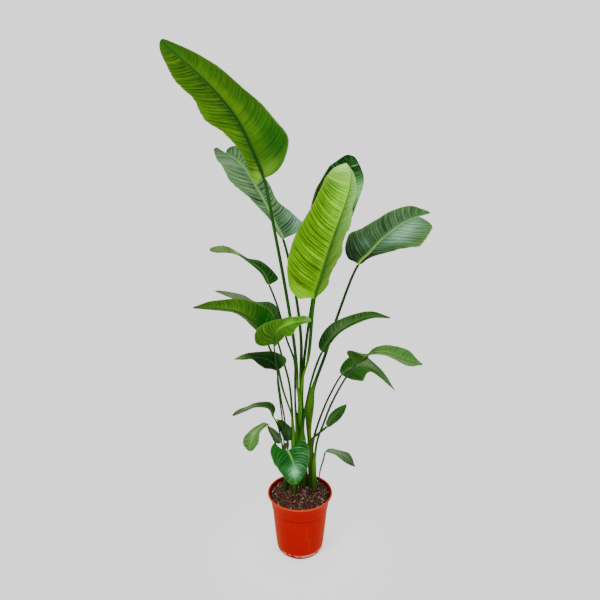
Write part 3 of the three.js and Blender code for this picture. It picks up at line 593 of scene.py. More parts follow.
def waves_of(position, sizes, seed):
    """Sum of sine waves of the given lengths with seeded shifts, between about -1 and 1."""
    shifts = np.random.default_rng(seed).uniform(0, 2 * np.pi, len(sizes))
    return sum(np.sin(2 * np.pi * position / size + shift) for size, shift in zip(sizes, shifts)) / len(sizes)


def blade_surface(leaf, u, t, length, seed):
    """Middle surface of the blade as [across, up, back], with what its finish needs.

    Each half rises from the midrib at the fold's angle, arches by bow 4 (a - a^2) and waves by
    a^2 sin(2 pi u length / WAVE length) of its width w, where a = |t|^1.25 is the share of w. The rows lean
    forward by slant w a, and the lobes reach back by lobes exp(-u/0.1) a^2. The cross veins start at
    the midrib and sweep forward by 0.2 x + 0.35 w a^3. Pleats follow them as a softened zigzag.
    """
    u, t = u[:, None], t[None, :]
    a = np.abs(t) ** 1.25
    right = t > 0

    def pick(pair):
        return np.where(right, pair[1], pair[0])

    share = np.minimum(u / pick(leaf.get("ends", (1, 1))), 1)
    width = np.where(right, half_width(leaf["right"], share), half_width(leaf["left"], share))
    fold = np.radians(spread_out(leaf["fold"], u))
    fade = np.clip(np.minimum(8 * u, 5 * (1 - u)), 0, 1)
    swell = np.sin(2 * np.pi * u * length / WAVE["length"] + np.where(right, WAVE["lag"], 0))
    slant = BLADE["slant"] + (pick(leaf.get("points", (0.1, 0.1))) - BLADE["slant"]) * smooth(share, 0.6, 1)
    lean = slant * width * a * np.minimum(6 * u, 1)
    reach = pick(leaf["lobes"]) * np.exp(-u / 0.1) * a ** 2 * smooth(u, 0, 0.012)
    x = a * width
    start = u * length + BLADE["slant"] * x * np.minimum(6 * u, 1) - 0.2 * x - 0.35 * width * a ** 3
    gap = leaf.get("pleat", 12)
    veins = start / gap + 0.45 * waves_of(start + 40 * right, (97, 43, 29), seed)
    zigzag = np.arcsin(0.93 * np.sin(2 * np.pi * veins)) / np.arcsin(0.93)
    pleated = smooth(x, 3, 14) * (1 - 0.55 * smooth(a, 0.75, 1))
    pleated = pleated * np.clip(12 * u, 0, 1) * smooth(1 - u, 0.0, 0.1)
    pleats = leaf.get("crease", 0.55) * zigzag * pleated
    ruffle = 0.018 * width * smooth(a, 0.7, 1)
    ruffle = ruffle * waves_of(u * length + 90 * right, (61, 37, 24), seed + 1) * fade
    rise = width * (4 * BLADE["bow"] * (a - a ** 2) + WAVE["height"] * fade * swell * a ** 2)
    rise = rise + pleats + ruffle
    side = np.sign(t)
    middle = np.stack(np.broadcast_arrays(
        side * (x * np.cos(fold) - rise * np.sin(fold)),
        x * np.sin(fold) + rise * np.cos(fold),
        reach - lean), -1)
    return middle, dict(veins=veins, pleated=pleated, x=side * x, width=width, a=a * side + 0 * u)


def leaf_rows(leaf, path):
    """Stations along the leaf: even on the sheath and stalk, then closer at the blade's base and tip."""
    _, mouth, blade, total = path
    length = total - blade
    wide = leaf["wide"]
    low = np.linspace(0, blade - 12, int((blade - 12) / 11) + 1)
    near = np.linspace(blade - 10, blade + 0.02 * length, 14)
    count = int(np.clip(length / (1.5 if wide else 1.9), 60, 350))
    k = np.linspace(0, 1, count)
    main = 0.02 + 0.88 * k
    end = 0.9 + 0.1 * np.sin(np.linspace(0, np.pi / 2, 26))
    return np.concatenate([low, near, blade + length * main[1:], blade + length * end[1:]])


def ring_skin(outer, inner):
    """Closes an outer and an inner grid into one body: each row is a ring, with a cap at both ends."""
    rows, columns = outer.shape[:2]
    points = np.concatenate([outer, inner[:, ::-1]], axis=1).reshape(-1, 3)
    ring = 2 * columns
    i = np.arange(rows - 1)[:, None] * ring
    j = np.arange(ring)
    k = (j + 1) % ring
    quads = np.stack([i + j, i + ring + j, i + ring + k, i + k], -1).reshape(-1, 4)
    m = np.arange(columns - 1)
    cap = np.stack([m, m + 1, ring - 2 - m, ring - 1 - m], -1)
    last = (rows - 1) * ring
    return points, np.vstack([quads, cap, last + cap[:, ::-1]])


def paint(code):
    """Colour in linear light from its six-figure code."""
    c = np.array([int(code[k:k + 2], 16) for k in (0, 2, 4)]) / 255
    return np.where(c <= 0.04045, c / 12.92, ((c + 0.055) / 1.055) ** 2.4)


def washed(color, washes, face, u, a):
    """Colour with each wash laid over it where exp(-((u-u0)/du)^2 - ((a-a0)/da)^2) is large."""
    # Many washes are painted light: pale ones lay in sheen, glare and glancing reflection, dark ones lay in
    # shade; others are the leaves' own tints, such as yellowed and browned tips.
    for code, strength, side, (u0, du), (a0, da) in washes:
        if side == face or (side == "both" and face != "rib"):
            amount = strength * np.exp(-((u - u0) / du) ** 2 - ((a - a0) / da) ** 2)
            color = color + (paint(code) - color) * np.clip(amount, 0, 1)[..., None]
    return color


def leaf_colors(leaf, face, s, path, u, t, info):
    """Base colour over one face: blade with its midrib and margin, stalk, and sheath with its margins."""
    _, mouth, blade, total = path
    look = leaf["look"]
    shape = info["a"].shape
    length = total - blade
    color = np.broadcast_to(paint(look[face]), shape + (3,)).copy()
    color = washed(color, leaf["washes"], face, u + 0 * info["a"], info["a"])
    ridge = leaf["radii"][1] * 1.2 + (1.4 - leaf["radii"][1] * 1.2) * smooth(u, 0, 0.9)
    rib = np.exp(-(info["x"] / ridge) ** 4) * (1 - 0.6 * smooth(u, 0.75, 1))
    rib_color = washed(paint(look["rib_" + face]), leaf["washes"], "rib", u + 0 * info["a"], 0)
    color += (rib_color - color) * rib[..., None]
    margin = smooth(np.abs(info["a"]), 0.965, 0.99) * 0.35 * smooth(u, 0.01, 0.05)
    color += (paint(MARGIN_COLOR) - color) * margin[..., None]
    low = smooth(s, blade - 6, blade + 0.01 * length)[:, None]
    # Painted shade across the round stalk: lighter along the middle of its width, darker towards its sides.
    painted_round_shading = 0.25 * np.cos(np.pi * t)[None, :, None]
    stalk = paint(look["stalk"]) * (1 + painted_round_shading * (1 if face == "upper" else 0.3))
    sheathy = (1 - smooth(s, mouth - 10, mouth + 90))[:, None, None]
    sheath = paint(look["sheath"]) * np.ones_like(stalk)
    edge = smooth(np.abs(t), 0.7, 0.97)[None, :, None]
    sheath = sheath + (paint(look["sheath_margin"]) - sheath) * edge
    foot = (1 - smooth(s, 60, 170))[:, None, None] * 0.75
    sheath = sheath + (paint(FOOT_COLOR) - sheath) * foot
    stalk = stalk + (sheath - stalk) * sheathy
    return stalk + (color - stalk) * low[..., None]


def grow_leaf(leaf, seed):
    """Mesh of one leaf: the sheath, stalk and blade sections placed along its path and skinned.

    Sheath: outer (R sin q, r - R cos q) with R = r + 1. Stalk: outer (r sin q, -r cos q), inner
    (0.82 r t, r (0.1 + 0.5 t^2)). Blade: its middle surface moved along its normals, up by half its
    thickness and down by that or by the ridge's h exp(-(x / 0.85 h)^2).
    """
    path = leaf_path(leaf)
    curve, mouth, blade, total = path
    length = total - blade
    s = leaf_rows(leaf, path)
    half = 22 if leaf["wide"] else 13
    inward = np.linspace(0, 1, half)
    t = np.concatenate([inward[:-1], [0.985, 1]])
    t = np.concatenate([-t[:0:-1], t])
    u = np.clip((s - blade) / length, 0, 1)

    z = on_curve(curve, s)[:, 2]
    round_half = min(150, 105 + 9 * max(0, 9 - sheath_radius(leaf, 0))) if leaf["wide"] else 70
    narrowed = smooth(s, mouth - SHEATH["narrowing"], mouth)
    q = np.radians(round_half + (SHEATH["mouth_half"] - round_half) * narrowed)[:, None] * t
    r = sheath_radius(leaf, z)[:, None]
    within = r - SHEATH["thickness"] / 2 * (1 - 0.6 * t ** 2)
    sheath_outer = np.stack([(r + 1) * np.sin(q), r - (r + 1) * np.cos(q), 0 * q], -1)
    sheath_inner = np.stack([within * np.sin(q), r - within * np.cos(q), 0 * q], -1)

    first, last = leaf["radii"]
    end = blade - 2 * last
    r = (first + (last - first) * smooth(s, mouth, blade))[:, None] + STALK_EDGE
    channel = (1 - smooth(s, end - 40, end))[:, None]
    q = np.radians(STALK_WRAP) * t[None]
    rise = (0.6 - 0.5 * channel) + (-0.15 + 0.65 * channel) * t ** 2
    stalk_outer = np.stack([r * np.sin(q), -r * np.cos(q), 0 * r * q], -1)
    stalk_inner = np.stack([0.82 * r * t, r * rise, 0 * r * t], -1)

    open_length = min(1.5 * SHEATH["opening"], (blade - mouth) / 4)
    places = [mouth - SHEATH["opening"], mouth + open_length, mouth + 2.4 * open_length]
    mixed = np.interp(s, places, [0, 0.75, 1])[:, None, None]
    outer = sheath_outer + (stalk_outer - sheath_outer) * mixed
    inner = sheath_inner + (stalk_inner - sheath_inner) * mixed

    centre = on_curve(curve, s)
    ahead = heading(curve, s)
    evened = np.clip(s - blade + 1, 1, BLADE["evening"] * length)
    to, back = on_curve(curve, np.minimum(s + evened, total)), on_curve(curve, s - evened)
    ahead = np.where((s > blade)[:, None], unit(to - back), ahead)
    up = upper_side(leaf, path, s, ahead)
    axes = np.stack([np.cross(ahead, up), up, -ahead], 1)

    def placed(section):
        return np.einsum("rck,rkd->rcd", section, axes) + centre[:, None]

    middle, info = blade_surface(leaf, u, t, length, seed)
    middle = placed(middle)
    settled = smooth(u, 0, BLADE["base"])[:, None, None]
    facing = unit(up[:, None] + (grid_normals(middle) - up[:, None]) * settled)
    thin = BLADE["thickness"] / 2
    ridge = last * 1.5 + (BLADE["ridge_end"] - last * 1.5) * smooth(u, 0, 0.9)[:, None]
    below = thin + (ridge - thin) * np.exp(-(info["x"] / (0.85 * ridge)) ** 2)
    above = thin - 0.22 * (ridge - thin) * np.exp(-(info["x"] / (0.45 * ridge)) ** 2)
    leafy = smooth(s, end, blade + 0.012 * length)[:, None, None]
    outer, inner = placed(outer), placed(inner)
    outer = outer + (middle - facing * below[..., None] - outer) * leafy
    inner = inner + (middle + facing * above[..., None] - inner) * leafy

    shape = s.shape + t.shape

    def both(front, behind):
        """One value for each point of the rings, from the outer and the inner grid."""
        pair = [np.broadcast_to(g, shape + g.shape[2:]) for g in (front, behind)]
        return np.concatenate([pair[0], pair[1][:, ::-1]], axis=1)

    points, quads = ring_skin(outer, inner)
    colors = [leaf_colors(leaf, face, s, path, u[:, None], t, info) for face in ("under", "upper")]
    color = both(*colors).reshape(-1, 3)
    on_blade = smooth(s, blade - 4, blade + 0.02 * length)[:, None] * np.ones(shape)
    layers = dict(
        paint=np.column_stack([color, np.ones(len(color))]),
        veins=both(info["veins"], info["veins"]).ravel(),
        pleated=both(info["pleated"] * on_blade, info["pleated"] * on_blade).ravel(),
        across=both(info["x"] / 10, info["x"] / 10).ravel(),
        upper=both(np.zeros(shape), np.ones(shape)).ravel(),
        run=both(s[:, None] / 10 * np.ones(shape), s[:, None] / 10 * np.ones(shape)).ravel(),
    )
    return build_mesh(leaf["node"].replace("leaf_", "") + "_leaf", points, quads, layers)


def leaf_detail_group():
    """Colour, roughness and relief that cross veins, fibres and patches give to a leaf's own paint.

    Dark stripes of painted shade follow cos(2 pi veins) over the pleats and light lines ((1 - cos) / 2)^4
    between them, both uneven along the leaf and with a strength for each half. Eight finer veins lie in each
    pleat.
    Streaks run along the veins, and fibres along the stalk.
    """
    inputs = {"Paint": (0.1, 0.3, 0.05, 1.0), "Line": (0.3, 0.5, 0.2, 1.0), "Stripes left": 0.3,
              "Stripes right": 0.3, "Lines left": 0.2, "Lines right": 0.2, "Streaks": 0.3, "Dull": 0.4}
    sockets = {"Color": "NodeSocketColor", "Roughness": "NodeSocketFloat", "Height": "NodeSocketFloat"}
    group, given, result = new_group("leaf_detail", inputs, sockets)
    veins = own_value(group, "veins")
    pleated = own_value(group, "pleated")
    across = own_value(group, "across")
    run = own_value(group, "run")
    where = object_place(group)

    side = between(group, across, -0.3, 0.3)
    reach = times(group, across, 0.22)
    drift_at = add_node(group, "ShaderNodeCombineXYZ", {"X": times(group, veins, 0.8), "Y": side})
    drift = noise(group, drift_at.outputs[0], 0.8, 1.0, 0.5)
    uneven_at = add_node(
        group, "ShaderNodeCombineXYZ", {"X": times(group, veins, 0.9), "Y": reach, "Z": 5.0})
    patchiness = between(group, noise(group, uneven_at.outputs[0], 0.9, 2.0, 0.5), 0.38, 0.66)
    shifted = plus(group, veins, times(group, minus(group, drift, 0.5), 1.2))
    wave = maths(group, "COSINE", times(group, shifted, 2 * np.pi))

    def by_half(name):
        """The named strength, changing over from the left half to the right across the midrib."""
        left, right = given[name + " left"], given[name + " right"]
        return plus(group, left, times(group, minus(group, right, left), side))

    fine = maths(group, "COSINE", times(group, veins, 16 * np.pi))
    # Painted shade: dark stripes on one slope of each pleat, as strong as each half's Stripes strength.
    pleat_shade = times(group, between(group, wave, -0.9, 1.0), pleated)
    pleat_shade = times(group, pleat_shade, minus(group, 1.25, times(group, patchiness, 0.7)))
    crest = maths(group, "POWER", between(group, wave, 1.0, -1.0), 4.0)
    crest = times(group, times(group, crest, patchiness), pleated)
    line = times(group, crest, by_half("Lines"))
    streak_at = add_node(group, "ShaderNodeCombineXYZ", {"X": times(group, veins, 2.2), "Y": reach})
    streak = noise(group, streak_at.outputs[0], 0.55, 4.0, 0.6)
    patch = noise(group, where, 9.0, 3.0, 0.55)
    fibre_at = add_node(group, "ShaderNodeMapping", {"Vector": where, "Scale": (900.0, 900.0, 14.0)})
    fibre = noise(group, fibre_at.outputs[0], 1.0, 3.0, 0.5)

    dark = times(group, times(group, pleat_shade, by_half("Stripes")), -1.0)
    streaky = times(group, minus(group, streak, 0.5), given["Streaks"])
    patchy = times(group, minus(group, patch, 0.5), 0.5)
    thread = times(group, times(group, fine, pleated), 0.05)
    grainy = times(group, minus(group, fibre, 0.5), 0.2)
    light = plus(group, plus(group, dark, streaky), plus(group, patchy, thread))
    light = plus(group, plus(group, light, grainy), 1.0)
    lit = add_node(group, "ShaderNodeVectorMath", {0: given["Paint"], 3: light}, operation="SCALE").outputs[0]
    group.links.new(blend_colors(group, line, lit, given["Line"]), result["Color"])

    uneven = times(group, minus(group, streak, 0.5), 0.35)
    group.links.new(plus(group, given["Dull"], uneven), result["Roughness"])
    relief = plus(group, times(group, times(group, fine, pleated), 0.35), streak)
    relief = plus(group, relief, times(group, fibre, 0.4))
    rings = times(group, maths(group, "SINE", times(group, run, 7.0)), 0.02)
    group.links.new(plus(group, relief, rings), result["Height"])
    return group


leaf_detail = leaf_detail_group()


def leaf_finish(leaf):
    """Waxy living leaf: its own paint with the group's detail, and a soft gloss, more on the upper side."""
    name = leaf["node"].replace("leaf_", "") + "_cuticle"
    material, tree, shader = new_material(name, IOR=1.42)
    upper = own_value(tree, "upper")
    shine = between(tree, upper, 0.0, 1.0, 0.04, leaf.get("gloss", 0.06))
    tree.links.new(shine, shader.inputs["Specular IOR Level"])
    own = add_node(tree, "ShaderNodeAttribute", attribute_name="paint").outputs["Color"]
    detail = add_node(tree, "ShaderNodeGroup", node_tree=leaf_detail)
    tree.links.new(own, detail.inputs["Paint"])
    for half, stripes, lines in zip(("left", "right"), leaf["stripes"], leaf["lines"]):
        detail.inputs["Stripes " + half].default_value = stripes
        detail.inputs["Lines " + half].default_value = lines
    detail.inputs["Line"].default_value = (*paint(leaf["line"]), 1)
    detail.inputs["Streaks"].default_value = leaf["streaks"]
    detail.inputs["Dull"].default_value = 0.42
    tree.links.new(detail.outputs["Color"], shader.inputs["Base Color"])
    tree.links.new(detail.outputs["Roughness"], shader.inputs["Roughness"])
    add_relief(tree, shader, detail.outputs["Height"], 0.35, 0.0005)
    return material


# Each leaf's washes mix its own tints with painted light: painted sheen, glare and glancing reflection in
# pale washes, painted shade in dark ones.
LEAVES = [
    dict(
        node="leaf_crown_left", shoot="back", ring=2, back=190, mouth=620, radii=[6.5, 4.8], spread=[4, 40],
        stalk=[[-11, 38, 690], [-20, 2, 805], [-50, -30, 1010], [-85, -70, 1215]],
        rib=[[-115, -110, 1380], [-135, -130, 1435], [-185, -180, 1540], [-250, -235, 1615],
             [-315, -280, 1670], [-366, -303, 1711]],
        face=[[0.35, 0.8, 0.5], [0.3, 0.8, 0.55], [0.25, 0.7, 0.7]],
        left=[57, 118, 98, 74, 60, 42, 24], right=[62, 50, 84, 114, 94, 80, 64],
        fold=[14, 14, 10], lobes=[0, 25], wide=True,
        slot="leaf_fresh", stripes=(0.25, 0.45), lines=(0.12, 0.5), line="81b807", streaks=0.6, crease=0.9,
        look=dict(upper="2f6122", under="447a17", rib_upper="98cc60", rib_under="1b4915",
                  stalk="28581b", sheath="569d23", sheath_margin="61a223"),
        washes=[
            ("246814", 0.95, "under", (0.2, 0.22), (-0.65, 0.45)),
            ("659713", 0.8, "under", (0.52, 0.26), (-0.22, 0.18)),
            ("629c15", 0.85, "under", (0.6, 0.35), (0.8, 0.35)),
            # painted shade beside the midrib ridge
            ("305f17", 0.75, "under", (0.42, 0.4), (0.12, 0.14)),
            ("99cf3c", 0.85, "under", (0.02, 0.07), (0.5, 0.6)),
            ("7ab035", 0.6, "under", (0.05, 0.05), (-0.4, 0.5)),
            ("33691b", 0.75, "under", (0.97, 0.14), (-0.3, 0.7)),
        ],
    ),
    dict(
        node="leaf_back_left", shoot="back", ring=1, back=150, mouth=645, radii=[6, 4.5],
        stalk=[[5, 52, 790], [-15, 80, 970]],
        rib=[[-65, 130, 1185], [-90, 145, 1230], [-130, 185, 1310], [-180, 225, 1395],
             [-235, 265, 1475], [-340, 330, 1550]],
        face=[[0.35, -0.8, 0.5], [0.35, -0.8, 0.5], [0.3, -0.8, 0.5]],
        left=[14, 14, 50, 90, 106, 80, 56], right=[108, 88, 50, 54, 52, 64, 60],
        fold=[8, 14, 20], lobes=[0, 0], ends=[1, 0.9], points=[0.1, 0.6], wide=True,
        slot="leaf_grey", stripes=(0.55, 0.65), lines=(0.25, 0.25), line="a3daa0", streaks=0.7,
        look=dict(upper="618b55", under="6b9351", rib_upper="8fbd71", rib_under="74a058",
                  stalk="28581b", sheath="468422", sheath_margin="5b9625"),
        washes=[
            ("93c8aa", 0.7, "upper", (0.06, 0.12), (0.85, 0.4)),
            ("406c47", 0.7, "upper", (0.1, 0.12), (0.25, 0.4)),
            ("123610", 1, "both", (1.03, 0.13), (0, 3)), ("123610", 1, "both", (0.93, 0.14), (1, 0.4)),
            ("82ae74", 0.6, "upper", (0.55, 0.3), (-0.6, 0.3)),
        ],
    ),
    dict(
        node="leaf_crown_right", shoot="back", ring=0, back=-20, mouth=715, radii=[6.5, 5], spread=[4, 55],
        stalk=[[35, -10, 805]],
        rib=[[50, -60, 985], [70, -90, 1060], [105, -130, 1185], [135, -145, 1275], [155, -145, 1345],
             [160, -125, 1395], [150, -85, 1430]],
        face=[[-0.5, 0.86, 0], [-0.5, 0.86, 0], [-0.4, 0.9, 0.1], [-0.35, 0.8, -0.4]],
        left=[105, 94, 148, 108, 80, 42, 16], right=[82, 118, 124, 110, 96, 84, 78],
        fold=[30, 38, 38, 24], lobes=[0, 20], wide=True,
        slot="leaf_fresh", stripes=(0.35, 0.5), lines=(0.2, 0.5), line="baff07", streaks=0.55, crease=1.0,
        look=dict(upper="366a29", under="67a707", rib_upper="a5e274", rib_under="3b6920",
                  stalk="2e6319", sheath="589526", sheath_margin="639b22"),
        washes=[
            ("95ef19", 0.85, "under", (0.72, 0.22), (0.22, 0.3)),
            ("97e807", 0.6, "under", (0.3, 0.4), (0.08, 0.1)),
            ("58862a", 0.85, "under", (0.4, 0.35), (-0.25, 0.25)),
            ("83b741", 0.7, "under", (0.2, 0.25), (-0.9, 0.35)),
            # painted glancing reflection over the pale half
            ("a6f079", 1, "under", (0.8, 0.36), (-0.85, 0.6)),
            ("97e607", 0.75, "under", (0.01, 0.08), (0.6, 0.7)),
            # painted glancing reflection at the pale tip
            ("c0ff7e", 1, "under", (1.04, 0.19), (0.1, 1.6)),
        ],
    ),
    dict(
        node="leaf_back_right", shoot="back", ring=3, back=80, mouth=535, radii=[5.5, 4.5],
        stalk=[[12, 66, 680], [25, 64, 810], [45, 90, 945]],
        rib=[[70, 130, 1095], [125, 190, 1275], [180, 225, 1410], [200, 240, 1505]],
        face=[[0.2, -0.9, 0.3], [0.2, -0.9, 0.3], [0.2, -0.8, 0.5]],
        left=[40, 64, 88, 100, 96, 86, 56], right=[50, 68, 75, 76, 74, 68, 46],
        fold=[10, 15, 12], lobes=[0, 0], wide=True,
        slot="leaf_deep", stripes=(0.2, 0.2), lines=(0.3, 0.45), line="8fe085", streaks=0.6, crease=0.8,
        gloss=0.03,
        look=dict(upper="133b10", under="3c732c", rib_upper="457d41", rib_under="588841",
                  stalk="28581b", sheath="4c8922", sheath_margin="46761d"),
        washes=[
            # painted glare on the right half
            ("88d67c", 1, "upper", (0.69, 0.12), (0.85, 0.35)),
            ("40813e", 0.35, "upper", (0.97, 0.04), (0.2, 0.4)),
        ],
    ),
    dict(
        node="leaf_right", shoot="right", ring=0, back=62, mouth=593, radii=[6, 4.5], spread=[11, 170],
        stalk=[[58, 40, 650], [95, 56, 750], [150, 80, 920]],
        rib=[[220, 100, 1090], [260, 112, 1130], [305, 132, 1176], [380, 160, 1233], [436, 182, 1261],
             [509, 200, 1281]],
        face=[[-0.4, -0.75, 0.5], [-0.35, -0.8, 0.5], [-0.2, -0.8, 0.6]],
        left=[71, 110, 88, 72, 68, 56, 30], right=[16, 26, 92, 154, 138, 112, 84],
        fold=[14, 16, 14], lobes=[9, 0], ends=[1, 0.86], points=[0.1, 0.45], wide=True,
        slot="leaf_deep", stripes=(0.4, 0.5), lines=(0.28, 0.3), line="85c08b", streaks=0.8, gloss=0.08,
        look=dict(upper="4c753c", under="60933f", rib_upper="a1d35f", rib_under="74a04e",
                  stalk="305323", sheath="5d9524", sheath_margin="657724"),
        washes=[
            ("597e54", 0.6, "upper", (0.6, 0.3), (-0.4, 0.35)),
            # painted sheen on the lower half, in this wash and the next
            ("9ed9af", 0.95, "upper", (0.52, 0.32), (0.36, 0.32)),
            ("699a5d", 0.7, "upper", (0.85, 0.2), (0.7, 0.4)),
            ("46792e", 0.85, "upper", (0.3, 0.3), (0.95, 0.22)),
            ("071f07", 1, "upper", (0, 0.24), (-0.7, 0.75)),
            ("0b290b", 1, "upper", (0.04, 0.2), (0.5, 0.45)),
            ("739e7d", 0.5, "upper", (0.2, 0.06), (-0.35, 0.2)),
        ],
    ),
    dict(
        node="leaf_upper_left", shoot="back", ring=4, back=170, mouth=500, radii=[3.8, 3.2],
        stalk=[[-19, 56, 640], [-21, 56, 725], [-50, 45, 815], [-82, 20, 945]],
        rib=[[-110, 0, 1025], [-130, -5, 1070], [-185, -20, 1115], [-230, -40, 1140], [-305, -60, 1150]],
        face=[[-0.2, -0.6, 0.6], [-0.2, -0.6, 0.6], [0.1, -0.4, 0.9]],
        left=[7, 10, 10, 6, 5, 13, 26], right=[46, 30, 24, 7, 12, 28, 28],
        fold=[10, 10, 10], lobes=[0, 0], wide=True,
        slot="leaf_deep", stripes=(0.4, 0.4), lines=(0.15, 0.15), line="5d8c49", streaks=0.5,
        look=dict(upper="1f5117", under="486630", rib_upper="537d39", rib_under="597d41",
                  stalk="314c28", sheath="4c8922", sheath_margin="46761d"),
        washes=[
            ("6a8b47", 1, "upper", (0.9, 0.26), (0, 3)), ("436722", 0.9, "upper", (1.02, 0.07), (0, 3)),
            ("9aae7f", 0.9, "upper", (0.64, 0.05), (0, 3)),
            ("699963", 0.5, "upper", (0.36, 0.12), (0.9, 0.3)),
            ("396e21", 0.5, "upper", (0.08, 0.1), (-0.5, 0.6)),
        ],
    ),
    dict(
        node="leaf_keel_left", shoot="front", ring=0, back=180, mouth=540, radii=[4.6, 3.6],
        stalk=[[-64, 2, 640], [-87, 2, 740], [-112, -8, 800]],
        rib=[[-127, -25, 850], [-147, -38, 880], [-177, -52, 915], [-218, -66, 940], [-288, -85, 955],
             [-358, -105, 960]],
        face=[[0.1, 0.83, 0.55], [0, 0.83, 0.55], [0, 0.83, 0.55]],
        left=[45, 70, 60, 48, 34, 24, 12], right=[32, 34, 32, 27, 22, 17, 11],
        fold=[28, 28, 25], lobes=[25, 10], wide=True,
        slot="leaf_fresh", stripes=(0.3, 0.35), lines=(0.25, 0.25), line="719b35", streaks=0.5,
        look=dict(upper="356b26", under="49781a", rib_upper="89c259", rib_under="335c1a",
                  stalk="375b1c", sheath="4c8922", sheath_margin="46761d"),
        washes=[
            ("6b9427", 0.6, "under", (0.45, 0.22), (-0.2, 0.2)),
            ("7ea059", 0.85, "under", (0.5, 0.35), (0.85, 0.45)),
            ("3c631c", 0.85, "under", (0.98, 0.22), (0, 3)),
            ("07620e", 1, "under", (0.08, 0.3), (-0.5, 1.2)),
        ],
    ),
    dict(
        node="leaf_behind_left", shoot="front", ring=1, back=110, mouth=470, radii=[4.2, 3.4],
        stalk=[[-31, 16, 560], [-41, 42, 645], [-70, 50, 755]],
        rib=[[-90, 60, 825], [-110, 80, 890], [-170, 110, 935], [-240, 135, 960], [-335, 165, 980]],
        face=[[-0.2, -0.5, 0.8], [-0.2, -0.5, 0.8], [-0.2, -0.5, 0.8]],
        left=[20, 52, 62, 42, 24, 16, 10], right=[10, 36, 42, 10, 16, 12, 9],
        fold=[10, 10, 10], lobes=[0, 0], wide=False,
        slot="leaf_deep", stripes=(0.35, 0.35), lines=(0.15, 0.15), line="597d41", streaks=0.5,
        look=dict(upper="265215", under="476d31", rib_upper="507539", rib_under="597d41",
                  stalk="28581b", sheath="4c8922", sheath_margin="46761d"),
        washes=[
            ("6e8860", 0.9, "upper", (0.72, 0.3), (0, 3)),
        ],
    ),
    dict(
        node="leaf_middle_right", shoot="back", ring=5, back=-70, mouth=430, radii=[4.8, 4],
        stalk=[[16, 14, 530], [26, 2, 593], [31, -2, 625], [46, -4, 685], [60, -5, 730]],
        rib=[[80, -5, 780], [120, -4, 840], [185, 2, 885], [255, 8, 910], [330, 20, 900]],
        face=[[-0.3, -0.5, 0.8], [-0.2, -0.5, 0.8], [-0.1, -0.5, 0.9]],
        left=[26, 38, 42, 33, 25, 20, 12], right=[22, 20, 17, 20, 20, 15, 8],
        fold=[15, 15, 10], lobes=[0, 0], wide=True,
        slot="leaf_deep", stripes=(0.35, 0.3), lines=(0.25, 0.15), line="64933f", streaks=0.5,
        look=dict(upper="335c1e", under="537d39", rib_upper="598141", rib_under="74a04e",
                  stalk="28521a", sheath="4c8922", sheath_margin="46761d"),
        washes=[
            ("24561a", 1, "upper", (0.08, 0.3), (0, 3)),
            ("5f8052", 0.5, "upper", (0.36, 0.16), (-0.3, 0.4)),
            ("335b20", 0.7, "upper", (1, 0.12), (0, 3)),
        ],
    ),
    dict(
        node="leaf_strip_left", shoot="left", ring=0, back=20, mouth=380, radii=[2.7, 2.4],
        stalk=[[-50, -10, 460], [-55, -48, 534], [-72, -88, 674], [-83, -104, 780]],
        rib=[[-88, -110, 836], [-86, -112, 860], [-77, -108, 884], [-44, -100, 902], [-4, -92, 910],
             [38, -84, 914]],
        face=[[0.1, -0.95, 0.2], [0.05, -0.85, 0.5], [0, -0.35, 1], [0, -0.3, 1]],
        left=[60, 66, 36, 28, 36, 34, 36], right=[6, 29, 34, 48, 38, 22, 20],
        fold=[4, 4, 4], lobes=[8, 12], wide=True,
        slot="leaf_fresh", stripes=(0.3, 0.35), lines=(0.2, 0.2), line="95ee0c", streaks=0.6, pleat=9,
        look=dict(upper="58981d", under="456b1b", rib_upper="a5ff10", rib_under="305218",
                  stalk="314c28", sheath="314c28", sheath_margin="46761d"),
        washes=[
            ("3c6517", 1, "upper", (0.08, 0.42), (0, 3)),
            ("8cff21", 0.4, "upper", (0.58, 0.1), (-0.2, 0.3)),
            ("7caf56", 0.85, "upper", (1, 0.16), (0, 3)), ("355c18", 0.6, "upper", (0, 0.1), (-0.9, 0.4)),
            ("244b15", 1, "rib", (0.1, 0.34), (0, 1)),
        ],
    ),
    dict(
        node="leaf_ragged_left", shoot="left", ring=1, back=200, mouth=330, radii=[2.7, 2.4],
        stalk=[[-60, 0, 430], [-65, -34, 536], [-73, -50, 618], [-80, -52, 684]],
        rib=[[-80, -54, 726], [-98, -60, 756], [-134, -64, 774], [-173, -68, 776], [-228, -80, 774]],
        face=[[-0.1, -0.3, 1], [0, -0.3, 1], [0, -0.3, 1]],
        left=[6, 41, 66, 46, 10, 10, 5], right=[72, 65, 51, 36, 30, 22, 12],
        fold=[5, 5, 5], lobes=[0, 0], wide=False,
        slot="leaf_deep", stripes=(0.3, 0.3), lines=(0.12, 0.12), line="3c7331", streaks=0.5, pleat=9,
        look=dict(upper="0c3109", under="346125", rib_upper="2b5b24", rib_under="476939",
                  stalk="314c28", sheath="314c28", sheath_margin="46761d"),
        washes=[
            ("416e25", 0.9, "upper", (0.04, 0.1), (0.85, 0.4)),
            ("6d8e45", 0.85, "upper", (0.97, 0.22), (0, 3)),
            ("2b5c1d", 0.6, "upper", (0.45, 0.15), (0.7, 0.4)),
        ],
    ),
    dict(
        node="leaf_outer_right", shoot="right", ring=3, back=-20, mouth=350, radii=[4.2, 3.2],
        stalk=[[66, 26, 420], [90, 14, 498], [116, 0, 578], [164, -40, 694]],
        rib=[[198, -90, 764], [226, -110, 798], [276, -140, 819], [338, -160, 803], [400, -170, 784]],
        face=[[0.35, 0.9, 0.3], [0, -0.1, 1], [0, -0.2, 1], [0, -0.3, 1], [0, -0.3, 1]],
        left=[6, 26, 42, 44, 47, 40, 14], right=[54, 52, 42, 44, 48, 46, 20],
        fold=[10, 10, 10], lobes=[0, 10], wide=False,
